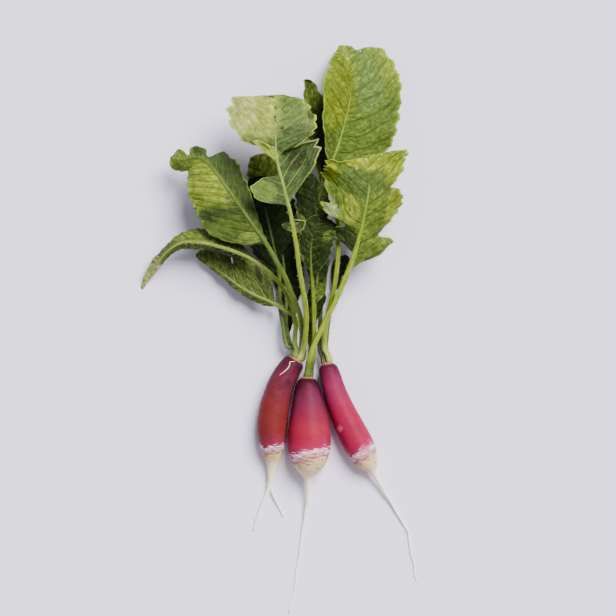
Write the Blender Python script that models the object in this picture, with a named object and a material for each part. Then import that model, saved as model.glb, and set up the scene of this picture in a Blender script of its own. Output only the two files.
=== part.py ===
"""A small bunch of three long radishes with their leaves, lying on a flat surface.

Each radish root is one closed solid: crown, swollen body and the tap root that it runs out into.
Each leaf is one closed solid: stalk, midrib, side lobes and the toothed end blade.
Lengths in the tables below are millimetres. X points right and Y from the roots to the leaf tips,
seen from above, and Z is up from the surface that the bunch lies on.
"""

import math
from dataclasses import dataclass, field

import bmesh
import bpy
import numpy as np

MM = 0.001

# The middle of the whole bunch, so that the part's origin is under the middle of its box.
MIDDLE_X = -17.25
MIDDLE_Y = -12.7

BLADE_THICK = 0.7
GAP = 0.3
ROOT_SIDES = 16

SKIN_RED = (0.42, 0.035, 0.085)
TIP_WHITE = (0.80, 0.72, 0.58)
LEAF_GREEN = (0.16, 0.25, 0.035)
PALE_GREEN = (0.36, 0.42, 0.13)
DARK_GREEN = (0.07, 0.12, 0.02)


@dataclass
class Root:
    """A radish: its centre line from crown to tap root's end, as (x, y, z, radius).

    The skin turns from red to white at the point of the line that white_from counts to.
    """

    name: str
    line: list
    white_from: int
    fork: list = field(default_factory=list)


@dataclass
class Leaf:
    """A leaf on a crown. Places along it are counted in points of its route: 0 is its foot on the
    crown, 1 is 4 mm out of it, and 2 is the first point of route.

    Every other list holds (place, value) pairs: the stalk's radius, how far the blade reaches out to
    the left and to the right of the midrib, and in degrees how far each side leans forward, folds up
    at the midrib and curls up towards its margin, and how far the whole blade rolls, left side up.
    """

    name: str
    root: str
    seat: float
    route: list
    stalk: list
    left: list
    right: list
    lean_left: list
    lean_right: list
    fold_left: list
    fold_right: list
    curl_left: list
    curl_right: list
    roll: list = field(default_factory=lambda: [(0, 0)])
    teeth: float = 2.5
    tooth_depth: float = 0.09
    wave_height: float = 1.2
    panels: int = 3
    colour: tuple = LEAF_GREEN


SEAT_RING = {"left": 3.7, "middle": 2.4, "right": 2.6}

ROOTS = {
    "left": Root(
        "root_left",
        [
            (-6.6, -29.4, 10.5, 5.4),
            (-9.0, -33.5, 10.4, 6.6),
            (-12.6, -39.0, 10.1, 7.5),
            (-16.6, -46.5, 9.6, 8.1),
            (-19.3, -54.0, 9.2, 8.5),
            (-21.0, -62.0, 8.6, 8.9),
            (-21.9, -71.0, 8.6, 8.9),
            (-21.6, -79.5, 8.2, 8.1),
            (-21.0, -86.0, 7.4, 6.4),
            (-21.0, -91.5, 6.2, 4.2),
            (-21.8, -98.0, 4.6, 2.6),
            (-22.6, -104.0, 3.0, 1.6),
            (-24.2, -109.5, 1.9, 1.1),
            (-27.4, -118.0, 1.2, 0.9),
            (-30.6, -126.0, 0.9, 0.7),
            (-32.5, -133.5, 0.6, 0.55),
        ],
        white_from=8,
        fork=[
            (-22.9, -105.5, 2.7, 1.1),
            (-21.3, -111.0, 1.8, 0.9),
            (-18.6, -117.5, 1.1, 0.75),
            (-14.6, -125.0, 0.6, 0.55),
        ],
    ),
    "middle": Root(
        "root_middle",
        [
            (-0.3, -40.2, 12.4, 4.2),
            (-0.4, -43.5, 12.5, 5.8),
            (-0.3, -49.5, 12.5, 8.0),
            (0.2, -57.0, 12.5, 9.7),
            (0.6, -65.0, 12.4, 11.5),
            (0.8, -73.0, 12.2, 12.6),
            (0.9, -80.0, 12.2, 12.7),
            (0.7, -87.0, 12.1, 12.0),
            (0.5, -92.5, 11.4, 10.0),
            (0.2, -97.0, 10.4, 6.8),
            (0.1, -100.5, 9.4, 3.4),
            (0.2, -106.0, 7.4, 1.9),
            (0.0, -114.0, 4.6, 1.3),
            (-1.2, -122.0, 2.3, 1.0),
            (-3.0, -133.0, 1.1, 0.9),
            (-4.8, -145.0, 0.8, 0.8),
            (-6.8, -158.0, 0.7, 0.65),
            (-8.6, -170.0, 0.6, 0.6),
            (-11.4, -182.5, 0.6, 0.55),
        ],
        white_from=8,
    ),
    "right": Root(
        "root_right",
        [
            (11.4, -31.8, 9.6, 4.4),
            (12.0, -35.5, 9.6, 5.6),
            (13.3, -41.0, 9.5, 6.4),
            (15.3, -48.0, 9.3, 6.9),
            (18.2, -56.5, 9.0, 7.5),
            (22.2, -65.5, 8.8, 8.3),
            (26.6, -74.5, 8.6, 8.9),
            (30.8, -82.5, 8.6, 8.9),
            (34.0, -88.8, 8.3, 7.7),
            (36.8, -93.8, 7.6, 5.4),
            (38.6, -97.4, 6.6, 2.6),
            (41.0, -101.4, 5.4, 1.6),
            (44.4, -107.0, 3.9, 1.3),
            (50.2, -117.0, 1.9, 1.0),
            (56.0, -127.0, 1.0, 0.9),
            (59.6, -133.4, 0.8, 0.8),
            (60.6, -139.4, 0.7, 0.75),
            (61.6, -146.2, 0.7, 0.7),
            (63.2, -153.4, 0.6, 0.65),
            (64.4, -160.0, 0.6, 0.6),
            (65.2, -163.8, 0.5, 0.5),
        ],
        white_from=8,
    ),
}

LEAVES = [
    Leaf(
        "leaf_front",
        "left",
        62.0,
        route=[
            (-2, -19, 20),
            (-1, -8, 26),
            (-2, 5, 32),
            (-5, 22, 37),
            (-7, 37, 41),
            (-10, 54, 44),
            (-14, 70, 45),
            (-18, 86, 45),
            (-19, 99, 44),
            (-18, 112, 42),
            (-17, 126, 38),
        ],
        stalk=[(0, 1.6), (4, 1.6), (8, 1.2), (10, 0.9), (12, 0.5)],
        left=[
            (6.5, 1), (6.6, 6), (6.75, 7), (6.85, 1),
            (7.4, 1), (7.5, 11), (7.62, 18), (7.8, 21), (7.95, 21), (8.15, 18), (8.35, 11), (8.5, 1),
            (9.0, 1), (9.1, 12), (9.25, 18), (9.45, 14), (9.6, 1),
            (9.7, 1), (9.8, 12), (10.1, 22.5), (10.5, 30.5), (10.9, 31.5), (11.3, 30), (11.7, 21), (12, 2),
        ],
        right=[
            (6.4, 1), (6.55, 7), (6.75, 8), (6.9, 1),
            (7.5, 1), (7.65, 9), (7.85, 18), (8.1, 26), (8.4, 31), (8.7, 31), (9.0, 28), (9.15, 18),
            (9.25, 1), (9.32, 1), (9.45, 11), (9.75, 20), (10.1, 24), (10.5, 25), (10.9, 23), (11.4, 18),
            (11.75, 12), (12, 2),
        ],
        lean_left=[
            (6.9, 0), (7.3, 12), (8.6, 22), (9, 38), (9.6, 38), (9.7, -4), (10.1, 0), (11, 15), (12, 32),
        ],
        lean_right=[(6.9, 0), (7.5, 24), (9.2, 22), (9.4, 12), (10.3, 10), (11, 18), (12, 30)],
        fold_left=[(6.9, -5), (7.3, 8), (9, 22), (9.6, 20), (9.7, 0), (10.2, 2), (12, 2)],
        fold_right=[(7.5, -18), (9.2, -34), (9.4, 8), (12, 4)],
        curl_left=[(6.9, -20), (8.5, -25), (9, 10), (10, -12), (12, -30)],
        curl_right=[(7.5, 30), (9.2, 44), (9.4, -8), (12, -25)],
        panels=4,
        colour=PALE_GREEN,
    ),
    Leaf(
        "leaf_tall",
        "right",
        45.0,
        route=[
            (10, -24, 12),
            (10, -15, 13.5),
            (12, -4, 15),
            (15, 9, 16.5),
            (17, 22, 18),
            (18, 34, 19),
            (18, 49, 20),
            (15, 67, 21),
            (14, 84, 22),
            (18, 97, 23),
            (22, 111, 23),
            (25, 126, 21),
            (25, 141, 16),
            (21, 157, 8),
        ],
        stalk=[(0, 1.7), (6, 1.5), (10, 1.1), (13, 0.8), (15, 0.5)],
        left=[
            (10.1, 1), (10.5, 8), (11, 12), (12, 20), (12.5, 22), (13, 20.5), (13.5, 16.5), (14, 14),
            (14.5, 9), (15, 1.5),
        ],
        right=[
            (10.1, 1), (10.4, 12), (10.8, 21), (11.2, 29), (12, 33), (13, 32), (13.6, 31), (14, 29),
            (14.4, 19), (14.65, 8), (14.8, 8), (15, 1.5),
        ],
        lean_left=[(10, 10), (11, 20), (12, 30), (15, 35)],
        lean_right=[(10, -14), (11.2, -2), (12, 7), (13, 16), (15, 26)],
        fold_left=[(10, 20), (13, 20), (15, 8)],
        fold_right=[(10, 5), (15, 5)],
        curl_left=[(10, 5), (15, -10)],
        curl_right=[(10, -25), (13, -25), (15, -45)],
        teeth=2.2,
        panels=4,
    ),
    Leaf(
        "leaf_right",
        "middle",
        90.0,
        route=[
            (1, -30, 15.5),
            (4, -21, 17.5),
            (10, -8.5, 20.5),
            (18.3, 8.5, 24),
            (25, 25, 27.5),
            (29, 37, 30.5),
            (32, 49, 33),
            (34.5, 60, 34.5),
            (36, 70, 35),
            (36, 80, 34),
            (34, 90, 31),
        ],
        stalk=[(0, 1.7), (6, 1.7), (8, 1.2), (10, 0.9), (12, 0.5)],
        left=[
            (6.6, 1), (6.75, 9), (6.95, 16), (7.25, 18), (7.45, 16), (7.6, 8),
            (7.72, 8), (7.82, 18), (7.95, 26), (8.1, 29), (8.25, 29), (8.42, 24),
            (8.6, 28), (8.8, 33), (9.0, 34.5), (9.25, 34), (9.5, 32), (9.75, 31), (10.1, 31), (10.6, 30),
            (11, 20), (11.5, 10), (12, 1),
        ],
        right=[
            (5.95, 1), (6.15, 13), (6.4, 21), (6.7, 26), (7.0, 17), (7.3, 14),
            (7.7, 18), (8.2, 22), (8.9, 22), (9.4, 19), (10, 21), (10.5, 25), (11, 26),
            (11.4, 28), (11.75, 21), (12, 1),
        ],
        lean_left=[(6.6, 4), (7.6, 8), (8.4, 8), (8.7, 24), (12, 24)],
        lean_right=[(6, 26), (6.8, 34), (7.5, 24), (12, 26)],
        fold_left=[(7, -14), (7.65, -14), (7.8, 2), (8.6, 0), (9, -8), (12, 12)],
        fold_right=[(6, -8), (9, 0), (12, 4)],
        curl_left=[(7, -20), (8.6, -20), (10, 20), (12, 50)],
        curl_right=[(6, -35), (9, -20), (12, -15)],
        teeth=2.4,
        panels=4,
    ),
    Leaf(
        "leaf_folded",
        "left",
        5.0,
        route=[
            (-3, -20, 15.5),
            (-4, -7, 21.5),
            (-9, 7, 27),
            (-14, 19, 31),
            (-20, 30, 33.5),
            (-26, 40, 35),
            (-34, 51, 37),
            (-43, 64, 38),
            (-51, 75, 37),
            (-60, 86, 33),
            (-67, 89, 29),
            (-74, 88, 25),
            (-82, 89, 21),
        ],
        stalk=[(0, 1.6), (5, 1.6), (9, 1.1), (12, 0.8), (14, 0.5)],
        left=[
            (6.85, 1), (7.0, 11), (7.25, 16), (7.6, 25.5), (8, 29.5), (8.5, 28.5), (9, 27), (9.5, 26),
            (10, 24), (10.5, 20), (11, 15), (11.6, 11), (12.2, 10), (13, 9.5), (13.6, 7), (14, 1),
        ],
        right=[
            (6.9, 1), (7.4, 9), (8, 15), (9, 21), (10, 24), (10.6, 21), (11, 15), (11.6, 8),
            (12.3, 7.5), (13.2, 8), (13.7, 6), (14, 1),
        ],
        lean_left=[(7, 14), (7.6, 23), (9, 26), (10, 26), (10.8, 27), (11.6, 38), (12.4, 46), (14, 35)],
        lean_right=[(7, 25), (11, 25), (14, 20)],
        fold_left=[(7, -12), (14, -15)],
        fold_right=[(7, -62), (9, -56), (11, -45), (12, -30), (14, -20)],
        curl_left=[(7, -15), (14, -10)],
        curl_right=[(7, 10), (14, -10)],
        teeth=2.4,
        tooth_depth=0.05,
        panels=4,
    ),
    Leaf(
        "leaf_drooping",
        "left",
        120.0,
        route=[
            (-8, -21, 14),
            (-7.5, -10, 15.5),
            (-10, 2, 18),
            (-15, 12, 21),
            (-24, 22, 24),
            (-34, 29, 26),
            (-45, 34, 27.5),
            (-55, 37, 28),
            (-65, 39, 27),
            (-74, 39, 25),
            (-82, 35, 20.5),
            (-89, 28, 14),
            (-95, 20, 6.5),
            (-99.5, 12, 0.6),
        ],
        stalk=[(0, 1.5), (5, 1.4), (10, 1.1), (15, 0.5)],
        left=[(7.0, 1), (8, 7), (10, 8), (12, 5), (14, 3.5), (15, 0.8)],
        right=[(6.9, 1), (7.6, 9), (8.6, 13), (9.8, 13), (11, 9), (12, 6), (13.5, 4.5), (15, 0.8)],
        lean_left=[(7, 30)],
        lean_right=[(7, 20)],
        fold_left=[(7, -60), (11, -55), (13, -38), (15, -25)],
        fold_right=[(7, -35), (11, -42), (12, -48), (13, -38), (15, -25)],
        curl_left=[(7, 10), (12, 0), (15, -20)],
        curl_right=[(7, -10), (15, 0)],
        teeth=2.0,
    ),
    Leaf(
        "leaf_low_left",
        "left",
        -55.0,
        route=[
            (-4, -22, 9),
            (-4, -14, 11.5),
            (-7, -6, 13),
            (-14, -1, 14),
            (-23, 4, 14.5),
            (-33, 8.5, 14),
            (-42, 14, 13),
            (-50, 20, 11),
            (-59, 27, 8),
            (-67, 32, 5),
        ],
        stalk=[(0, 1.5), (5, 1.3), (9, 0.9), (11, 0.5)],
        left=[(5.6, 1), (6, 5), (7, 5.5), (8.5, 4), (9.5, 3), (10.4, 2.5), (11, 1)],
        right=[
            (5.75, 1), (5.85, 10), (6, 17), (6.25, 22), (6.6, 25), (7.2, 25), (8, 21), (9, 16), (10, 9.5),
            (10.6, 5), (11, 1),
        ],
        lean_left=[(5, 20), (11, 30)],
        lean_right=[(5.75, 20), (6, 27), (6.25, 36), (6.6, 42), (11, 38)],
        fold_left=[(5, -35), (11, -25)],
        fold_right=[(5, 6), (11, 8)],
        curl_left=[(5, -10), (11, 0)],
        curl_right=[(5, -14), (11, -10)],
        teeth=2.2,
        panels=4,
    ),
    Leaf(
        "leaf_narrow",
        "right",
        200.0,
        route=[
            (7, -25, 8.5),
            (7, -14, 8.5),
            (8, 1, 8.5),
            (10, 15, 8.5),
            (11, 33, 9),
            (10, 51, 9),
            (9, 67, 9),
            (8, 82, 10),
            (6, 96, 12),
            (4, 110, 15),
            (1, 123, 19),
            (-2, 136, 22),
        ],
        stalk=[(0, 1.5), (6, 1.2), (10, 0.9), (13, 0.5)],
        left=[(8.5, 1), (9.2, 6), (10.2, 9), (11.2, 9), (12.2, 6), (13, 1)],
        right=[(8.5, 1), (9.2, 6), (10.2, 10), (11.2, 11), (12.2, 8.5), (12.7, 5.5), (13, 1)],
        lean_left=[(8, 30)],
        lean_right=[(8, 30)],
        fold_left=[(8, 40), (13, 45)],
        fold_right=[(8, 40), (11, 35), (13, 30)],
        curl_left=[(8, 5)],
        curl_right=[(8, 5)],
        roll=[(8, 0), (13, 15)],
        teeth=1.8,
    ),
    Leaf(
        "leaf_back_left",
        "left",
        180.0,
        route=[
            (-13, -22, 10),
            (-15, -10, 9),
            (-17, 3, 8),
            (-17, 17, 8.5),
            (-19, 30, 9.5),
            (-22, 44, 10.5),
            (-25, 57, 11),
            (-27, 68, 11),
            (-28, 79, 10),
        ],
        stalk=[(0, 1.4), (5, 1.2), (8, 0.9), (10, 0.5)],
        left=[(5.2, 1), (5.5, 9), (6, 15), (6.6, 17), (7.6, 16), (8.6, 13), (9.5, 9), (10, 1.5)],
        right=[(5.9, 1), (6.1, 8), (6.6, 15), (7.6, 20), (8.4, 20), (9.3, 14), (10, 1.5)],
        lean_left=[(5, 25)],
        lean_right=[(5, 20)],
        fold_left=[(5, 5)],
        fold_right=[(5, 5)],
        curl_left=[(5, -15)],
        curl_right=[(5, -10)],
        teeth=2.2,
        colour=DARK_GREEN,
    ),
    Leaf(
        "leaf_back_upper",
        "left",
        238.0,
        route=[
            (-11, -21, 6.5),
            (-13, -8, 5),
            (-13, 5, 4.3),
            (-14, 21, 4),
            (-16, 38, 4),
            (-18, 56, 3),
            (-22, 70, 2.2),
            (-27, 81, 1.4),
            (-33, 91, 0.8),
        ],
        stalk=[(0, 1.4), (5, 1.2), (8, 0.9), (10, 0.5)],
        left=[
            (3.8, 1), (4.3, 4), (5, 6), (5.8, 5), (6.4, 6), (7, 3), (7.3, 1),
            (7.9, 9), (8.6, 11), (9.4, 7), (10, 1.5),
        ],
        right=[
            (3.6, 1), (4.2, 8), (4.8, 12), (5.4, 10), (6, 13), (6.6, 11), (7.1, 5), (7.3, 1),
            (7.9, 10), (8.6, 13), (9.4, 9), (10, 1.5),
        ],
        lean_left=[(5, 25)],
        lean_right=[(5, 25)],
        fold_left=[(5, 5)],
        fold_right=[(5, 5)],
        curl_left=[(5, -8)],
        curl_right=[(5, -10)],
        teeth=2.0,
        colour=DARK_GREEN,
    ),
    Leaf(
        "leaf_centre",
        "middle",
        -90.0,
        route=[
            (1, -30, 9),
            (2, -19, 9),
            (4, -5, 10),
            (5, 10, 12),
            (6, 26, 14.5),
            (6, 40, 16.5),
            (5, 55, 18),
            (3, 68, 18),
            (-1, 80, 16),
        ],
        stalk=[(0, 1.4), (5, 1.3), (8, 0.9), (10, 0.5)],
        left=[
            (2.6, 1), (3, 2.5), (3.6, 4), (4.2, 5), (4.8, 5.5), (5.05, 2), (5.2, 1),
            (5.8, 8), (6.4, 11), (6.9, 5), (7.4, 12), (8.3, 14), (9.3, 10), (10, 1.5),
        ],
        right=[(5.2, 1), (5.8, 5), (6.6, 7), (7.2, 4), (7.8, 8), (8.6, 8), (9.4, 6), (10, 1.5)],
        lean_left=[(4, 25)],
        lean_right=[(4, 25)],
        fold_left=[(4, 0)],
        fold_right=[(4, -12)],
        curl_left=[(4, -20)],
        curl_right=[(4, -10)],
        teeth=2.2,
        colour=DARK_GREEN,
    ),
    Leaf(
        "leaf_inner",
        "middle",
        -8.0,
        route=[
            (3, -30, 12.5),
            (3.5, -19, 13.5),
            (3.5, -5, 15.5),
            (3, 10, 18),
            (2, 24, 20.5),
            (2, 36, 22),
            (4, 46, 22.5),
            (8, 55, 21),
        ],
        stalk=[(0, 1.4), (5, 1.3), (8, 0.8), (9, 0.5)],
        left=[(5.1, 1), (5.3, 3), (5.5, 1), (5.8, 1), (6.1, 4), (6.6, 8), (7.4, 9), (8.3, 7), (9, 1)],
        right=[
            (4.5, 1), (4.7, 7), (5.0, 9), (5.2, 6), (5.35, 1), (5.6, 1), (5.8, 6), (6.4, 13),
            (7.2, 15), (8.2, 9), (9, 1),
        ],
        lean_left=[(4, 20)],
        lean_right=[(4, 15)],
        fold_left=[(4, 5)],
        fold_right=[(5.4, 0), (6, 18)],
        curl_left=[(4, -30)],
        curl_right=[(4, -20)],
        teeth=2.4,
        colour=LEAF_GREEN,
    ),
    Leaf(
        "leaf_young",
        "right",
        -65.0,
        route=[
            (11, -24, 7),
            (12, -12, 6),
            (14, 2, 5),
            (16, 14, 3.6),
            (20, 24, 2.4),
            (26, 28, 1.0),
        ],
        stalk=[(0, 1.2), (4, 1.0), (7, 0.5)],
        left=[(4.8, 0.9), (5.4, 5), (6, 7), (6.6, 5), (7, 1)],
        right=[(4.6, 0.9), (5.0, 5), (5.4, 3), (5.8, 6), (6.4, 5), (7, 1)],
        lean_left=[(4, 25)],
        lean_right=[(4, 25)],
        fold_left=[(4, 8)],
        fold_right=[(4, 8)],
        curl_left=[(4, -10)],
        curl_right=[(4, -10)],
        teeth=2.0,
        wave_height=0.8,
    ),
]


def clear_scene():
    for obj in list(bpy.data.objects):
        bpy.data.objects.remove(obj, do_unlink=True)


def paint(name, colour, roughness):
    material = bpy.data.materials.new(name)
    material.use_nodes = True
    shader = material.node_tree.nodes["Principled BSDF"]
    shader.inputs["Base Color"].default_value = (*colour, 1.0)
    shader.inputs["Roughness"].default_value = roughness
    shader.inputs["Metallic"].default_value = 0.0
    return material


def unit(vectors):
    return vectors / np.linalg.norm(vectors, axis=-1, keepdims=True)


def on_curve(points, places):
    """Points of the smooth curve through points, at places counted in those points."""
    points = np.asarray(points, float)
    first = 2 * points[0] - points[1]
    last = 2 * points[-1] - points[-2]
    padded = np.vstack([first, points, last])
    places = np.clip(places, 0, len(points) - 1)
    index = np.minimum(places.astype(int), len(points) - 2)
    part = (places - index)[:, None]
    a, b, c, d = (padded[index + k] for k in range(4))
    return 0.5 * (
        2 * b
        + (c - a) * part
        + (2 * a - 5 * b + 4 * c - d) * part**2
        + (3 * b - a - 3 * c + d) * part**3
    )


def along(keys, places):
    """The value at each place, straight between the (place, value) pairs of keys."""
    return np.interp(places, [k[0] for k in keys], [k[1] for k in keys])


def smooth_along(keys, places):
    """Like along, but rounded at the pairs, and never beyond the two values it runs between."""
    at, value = np.array(keys, float).T
    step = np.diff(at)
    slope = np.diff(value) / step
    same_way = slope[:-1] * slope[1:] > 0
    mean = 2 * slope[:-1] * slope[1:] / np.where(same_way, slope[:-1] + slope[1:], 1.0)
    turn = np.concatenate([slope[:1], np.where(same_way, mean, 0.0), slope[-1:]])
    index = np.clip(np.searchsorted(at, places) - 1, 0, len(step) - 1)
    part = np.clip((places - at[index]) / step[index], 0.0, 1.0)
    low, high = value[index], value[index + 1]
    bend_low, bend_high = turn[index] * step[index], turn[index + 1] * step[index]
    return (
        low
        + part**2 * (3 - 2 * part) * (high - low)
        + part * (1 - part) ** 2 * bend_low
        - part**2 * (1 - part) * bend_high
    )


def frames(points):
    """Unit tangents, left sides and upper normals along a line of points."""
    tangents = unit(np.gradient(points, axis=0))
    left = np.cross([0.0, 0.0, 1.0], tangents)
    for i in range(1, len(left)):
        if left[i] @ left[i - 1] < 0:
            left[i] = -left[i]
    left = unit(left)
    return tangents, left, np.cross(tangents, left)


def crown_frame(root):
    """A crown's centre, its outward axis, and the right and upper sides of its plane."""
    line = np.array([p[:3] for p in ROOTS[root].line])
    axis = unit(line[0] - line[1])
    right = unit(np.cross(axis, [0.0, 0.0, 1.0]))
    return line[0], axis, right, np.cross(right, axis)


def leaf_route(leaf):
    """The leaf's whole route, from its foot on the crown."""
    centre, axis, right, up = crown_frame(leaf.root)
    angle = math.radians(leaf.seat)
    out = SEAT_RING[leaf.root]
    foot = centre + GAP * axis + out * (math.cos(angle) * right + math.sin(angle) * up)
    return [foot, foot + 4.0 * axis, *leaf.route]


def margin(leaf, outline, places, radius):
    """How far the blade reaches from the midrib at each place, teeth included."""
    reach = smooth_along(outline, places)
    reach[(places < outline[0][0]) | (places > outline[-1][0])] = 0.0
    notch = 0.5 - 0.5 * np.cos(2 * math.pi * leaf.teeth * (places - outline[-1][0]))
    return np.maximum(radius, reach * (1.0 - leaf.tooth_depth * notch))


def stations(leaf):
    """Places of the leaf's cross-sections: few on the stalk, two for each tooth on the blade."""
    count = len(leaf.route) + 1
    blade = min(leaf.left[0][0], leaf.right[0][0])
    places = set(np.linspace(0.0, blade, 2 + int(blade * 1.4)))
    places |= set(count - np.arange(0.0, count - blade, 0.5 / leaf.teeth))
    places |= {key[0] for key in leaf.left + leaf.right if key[1] <= 1.0}
    kept = [0.0]
    for place in sorted(places):
        if place - kept[-1] >= 0.07:
            kept.append(float(place))
    kept[-1] = float(count)
    return np.array(kept)


def middle_surface(leaf, places, panels):
    """The blade's middle surface as a grid of points, each with its normal and its distance out."""
    line = on_curve(leaf_route(leaf), places)
    tangents, left, up = frames(line)
    ahead = np.linalg.norm(np.diff(line, axis=0), axis=1)
    ahead = np.append(np.cumsum(ahead[::-1])[::-1], 0.0)
    roll = np.radians(along(leaf.roll, places))[:, None]
    left, up = (
        np.cos(roll) * left + np.sin(roll) * up,
        np.cos(roll) * up - np.sin(roll) * left,
    )
    radius = along(leaf.stalk, places)
    shares = np.linspace(0.0, 1.0, panels)
    halves = []
    for sign, outline, lean, fold, curl in (
        (1, leaf.left, leaf.lean_left, leaf.fold_left, leaf.curl_left),
        (-1, leaf.right, leaf.lean_right, leaf.fold_right, leaf.curl_right),
    ):
        reach = margin(leaf, outline, places, radius)
        blade = np.clip((reach / radius - 1.0) / 2.0, 0.0, 1.0)
        rib = np.minimum(0.9 * radius, 0.45 * reach)
        out = rib[:, None] + (reach - rib)[:, None] * shares
        start = np.radians(along(fold, places)) * blade
        turn = np.radians(along(curl, places)) * blade + 1e-4
        bend = turn / reach
        angle = start[:, None] + bend[:, None] * out
        flat = (np.sin(angle) - np.sin(start)[:, None]) / bend[:, None]
        rise = (np.cos(start)[:, None] - np.cos(angle)) / bend[:, None]
        wave = leaf.wave_height * np.sin(2 * math.pi * 0.8 * places + sign)
        rise = rise + (wave * blade)[:, None] * (out / reach[:, None]) ** 2
        forward = np.minimum(np.sin(np.radians(along(lean, places))) * blade, 0.8 * ahead / reach)
        sideways = np.sqrt(1.0 - forward**2)
        side = sideways[:, None] * sign * left + forward[:, None] * tangents
        points = line[:, None] + flat[..., None] * side[:, None] + rise[..., None] * up[:, None]
        section = np.cos(angle)[..., None] * side[:, None] + np.sin(angle)[..., None] * up[:, None]
        normal = sign * unit(np.cross(tangents[:, None], section))
        halves.append((points, normal, out))
    (left_points, left_normal, left_out), (right_points, right_normal, right_out) = halves
    points = np.concatenate([left_points[:, ::-1], line[:, None], right_points], axis=1)
    normal = np.concatenate([left_normal[:, ::-1], up[:, None], right_normal], axis=1)
    out = np.concatenate([left_out[:, ::-1], 0 * left_out[:, :1], right_out], axis=1)
    points[..., 2] = np.maximum(points[..., 2], BLADE_THICK / 2)
    return points, normal, out, radius, tangents


def leaf_shell(leaf):
    """The leaf's outer points, ring by ring: over the top and back under the bottom."""
    places = stations(leaf)
    points, normal, out, radius, tangents = middle_surface(leaf, places, leaf.panels)
    swell = np.sqrt(np.maximum(radius[:, None] ** 2 - out**2, 0.0))
    over = np.maximum(0.5 * swell, BLADE_THICK / 2)
    under = np.maximum(swell, BLADE_THICK / 2)
    top = points + over[..., None] * normal
    bottom = points - under[..., None] * normal
    bottom[..., 2] = np.maximum(bottom[..., 2], 0.0)
    rings = np.concatenate([top, bottom[:, ::-1]], axis=1)
    rings[0] = seat_ring(leaf, rings[0], tangents[0])
    return rings


def seat_ring(leaf, ring, direction):
    """The foot's ring, moved along the stalk into the plane just off the crown."""
    centre, axis, _, _ = crown_frame(leaf.root)
    heading = unit(direction)
    lift = (ring - centre) @ axis - GAP
    return ring - (lift / (heading @ axis))[:, None] * heading


def mesh_object(name, verts, faces, material):
    mesh = bpy.data.meshes.new(name)
    shifted = (np.asarray(verts) - [MIDDLE_X, MIDDLE_Y, 0.0]) * MM
    mesh.from_pydata([tuple(v) for v in shifted], [], faces)
    mesh.materials.append(material)
    obj = bpy.data.objects.new(name, mesh)
    bpy.context.scene.collection.objects.link(obj)
    mesh.shade_smooth()
    mesh.set_sharp_from_angle(angle=math.radians(50))
    return obj


def leaf_faces(count, width):
    """Triangles between the rings, split the same way on the top and on the bottom."""
    ring = 2 * width
    faces = []
    for i in range(count - 1):
        for j in range(ring):
            k = (j + 1) % ring
            a, b = i * ring + j, i * ring + k
            c, d = a + ring, b + ring
            if j < width:
                faces += [(a, c, d), (a, d, b)]
            else:
                faces += [(a, c, b), (b, c, d)]
    start, end = 0, (count - 1) * ring
    for j in range(width - 1):
        top, low = j, ring - 1 - j
        faces += [(start + top, start + top + 1, start + low)]
        faces += [(start + top + 1, start + low - 1, start + low)]
        faces += [(end + top, end + low, end + top + 1)]
        faces += [(end + top + 1, end + low, end + low - 1)]
    return faces


def make_leaf(leaf):
    rings = leaf_shell(leaf)
    count, ring, _ = rings.shape
    faces = leaf_faces(count, ring // 2)
    material = paint(leaf.name + "_green", leaf.colour, 0.5)
    return mesh_object(leaf.name, rings.reshape(-1, 3), faces, material)


def tube(line, sides, steps):
    """Rings of a round body along (x, y, z, radius) points, kept off the surface's underside."""
    line = np.array(line)
    places = np.linspace(0, len(line) - 1, steps)
    run = on_curve(line, places)
    centres, radius = run[:, :3], run[:, 3]
    _, left, up = frames(centres)
    angles = 2 * math.pi * (np.arange(sides) + 0.5) / sides
    rings = centres[:, None] + radius[:, None, None] * (
        np.cos(angles)[None, :, None] * left[:, None]
        + np.sin(angles)[None, :, None] * up[:, None]
    )
    rings[..., 2] = np.maximum(rings[..., 2], 0.0)
    return rings


def tube_faces(count, sides):
    faces = [tuple(range(sides))[::-1]]
    for i in range(count - 1):
        for j in range(sides):
            k = (j + 1) % sides
            a, b = i * sides + j, i * sides + k
            faces.append((a, b, b + sides, a + sides))
    faces.append(tuple(range((count - 1) * sides, count * sides)))
    return faces


def make_root(root):
    rings = tube(root.line, ROOT_SIDES, 2 * len(root.line) - 1)
    count, sides, _ = rings.shape
    skin = paint(root.name + "_skin", SKIN_RED, 0.35)
    tip = paint(root.name + "_tip", TIP_WHITE, 0.5)
    obj = mesh_object(root.name, rings.reshape(-1, 3), tube_faces(count, sides), skin)
    obj.data.materials.append(tip)
    for face in obj.data.polygons[1 + 2 * sides * root.white_from :]:
        face.material_index = 1
    outward(obj)
    if root.fork:
        rings = tube(root.fork, 6, 2 * len(root.fork) - 1)
        count, sides, _ = rings.shape
        fork = mesh_object("fork", rings.reshape(-1, 3), tube_faces(count, sides), tip)
        outward(fork)
        join(obj, fork)
    return obj


def outward(obj):
    """Turns every face of a closed mesh outwards."""
    mesh = bmesh.new()
    mesh.from_mesh(obj.data)
    bmesh.ops.recalc_face_normals(mesh, faces=mesh.faces)
    mesh.to_mesh(obj.data)
    mesh.free()


def join(obj, other):
    """Fuses other into obj and removes it."""
    union = obj.modifiers.new("union", "BOOLEAN")
    union.operation = "UNION"
    union.solver = "EXACT"
    union.object = other
    graph = bpy.context.evaluated_depsgraph_get()
    fused = bpy.data.meshes.new_from_object(obj.evaluated_get(graph))
    obj.modifiers.clear()
    obj.data = fused
    bpy.data.objects.remove(other, do_unlink=True)


def main():
    clear_scene()
    for root in ROOTS.values():
        make_root(root)
    for leaf in LEAVES:
        outward(make_leaf(leaf))


main()
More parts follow.
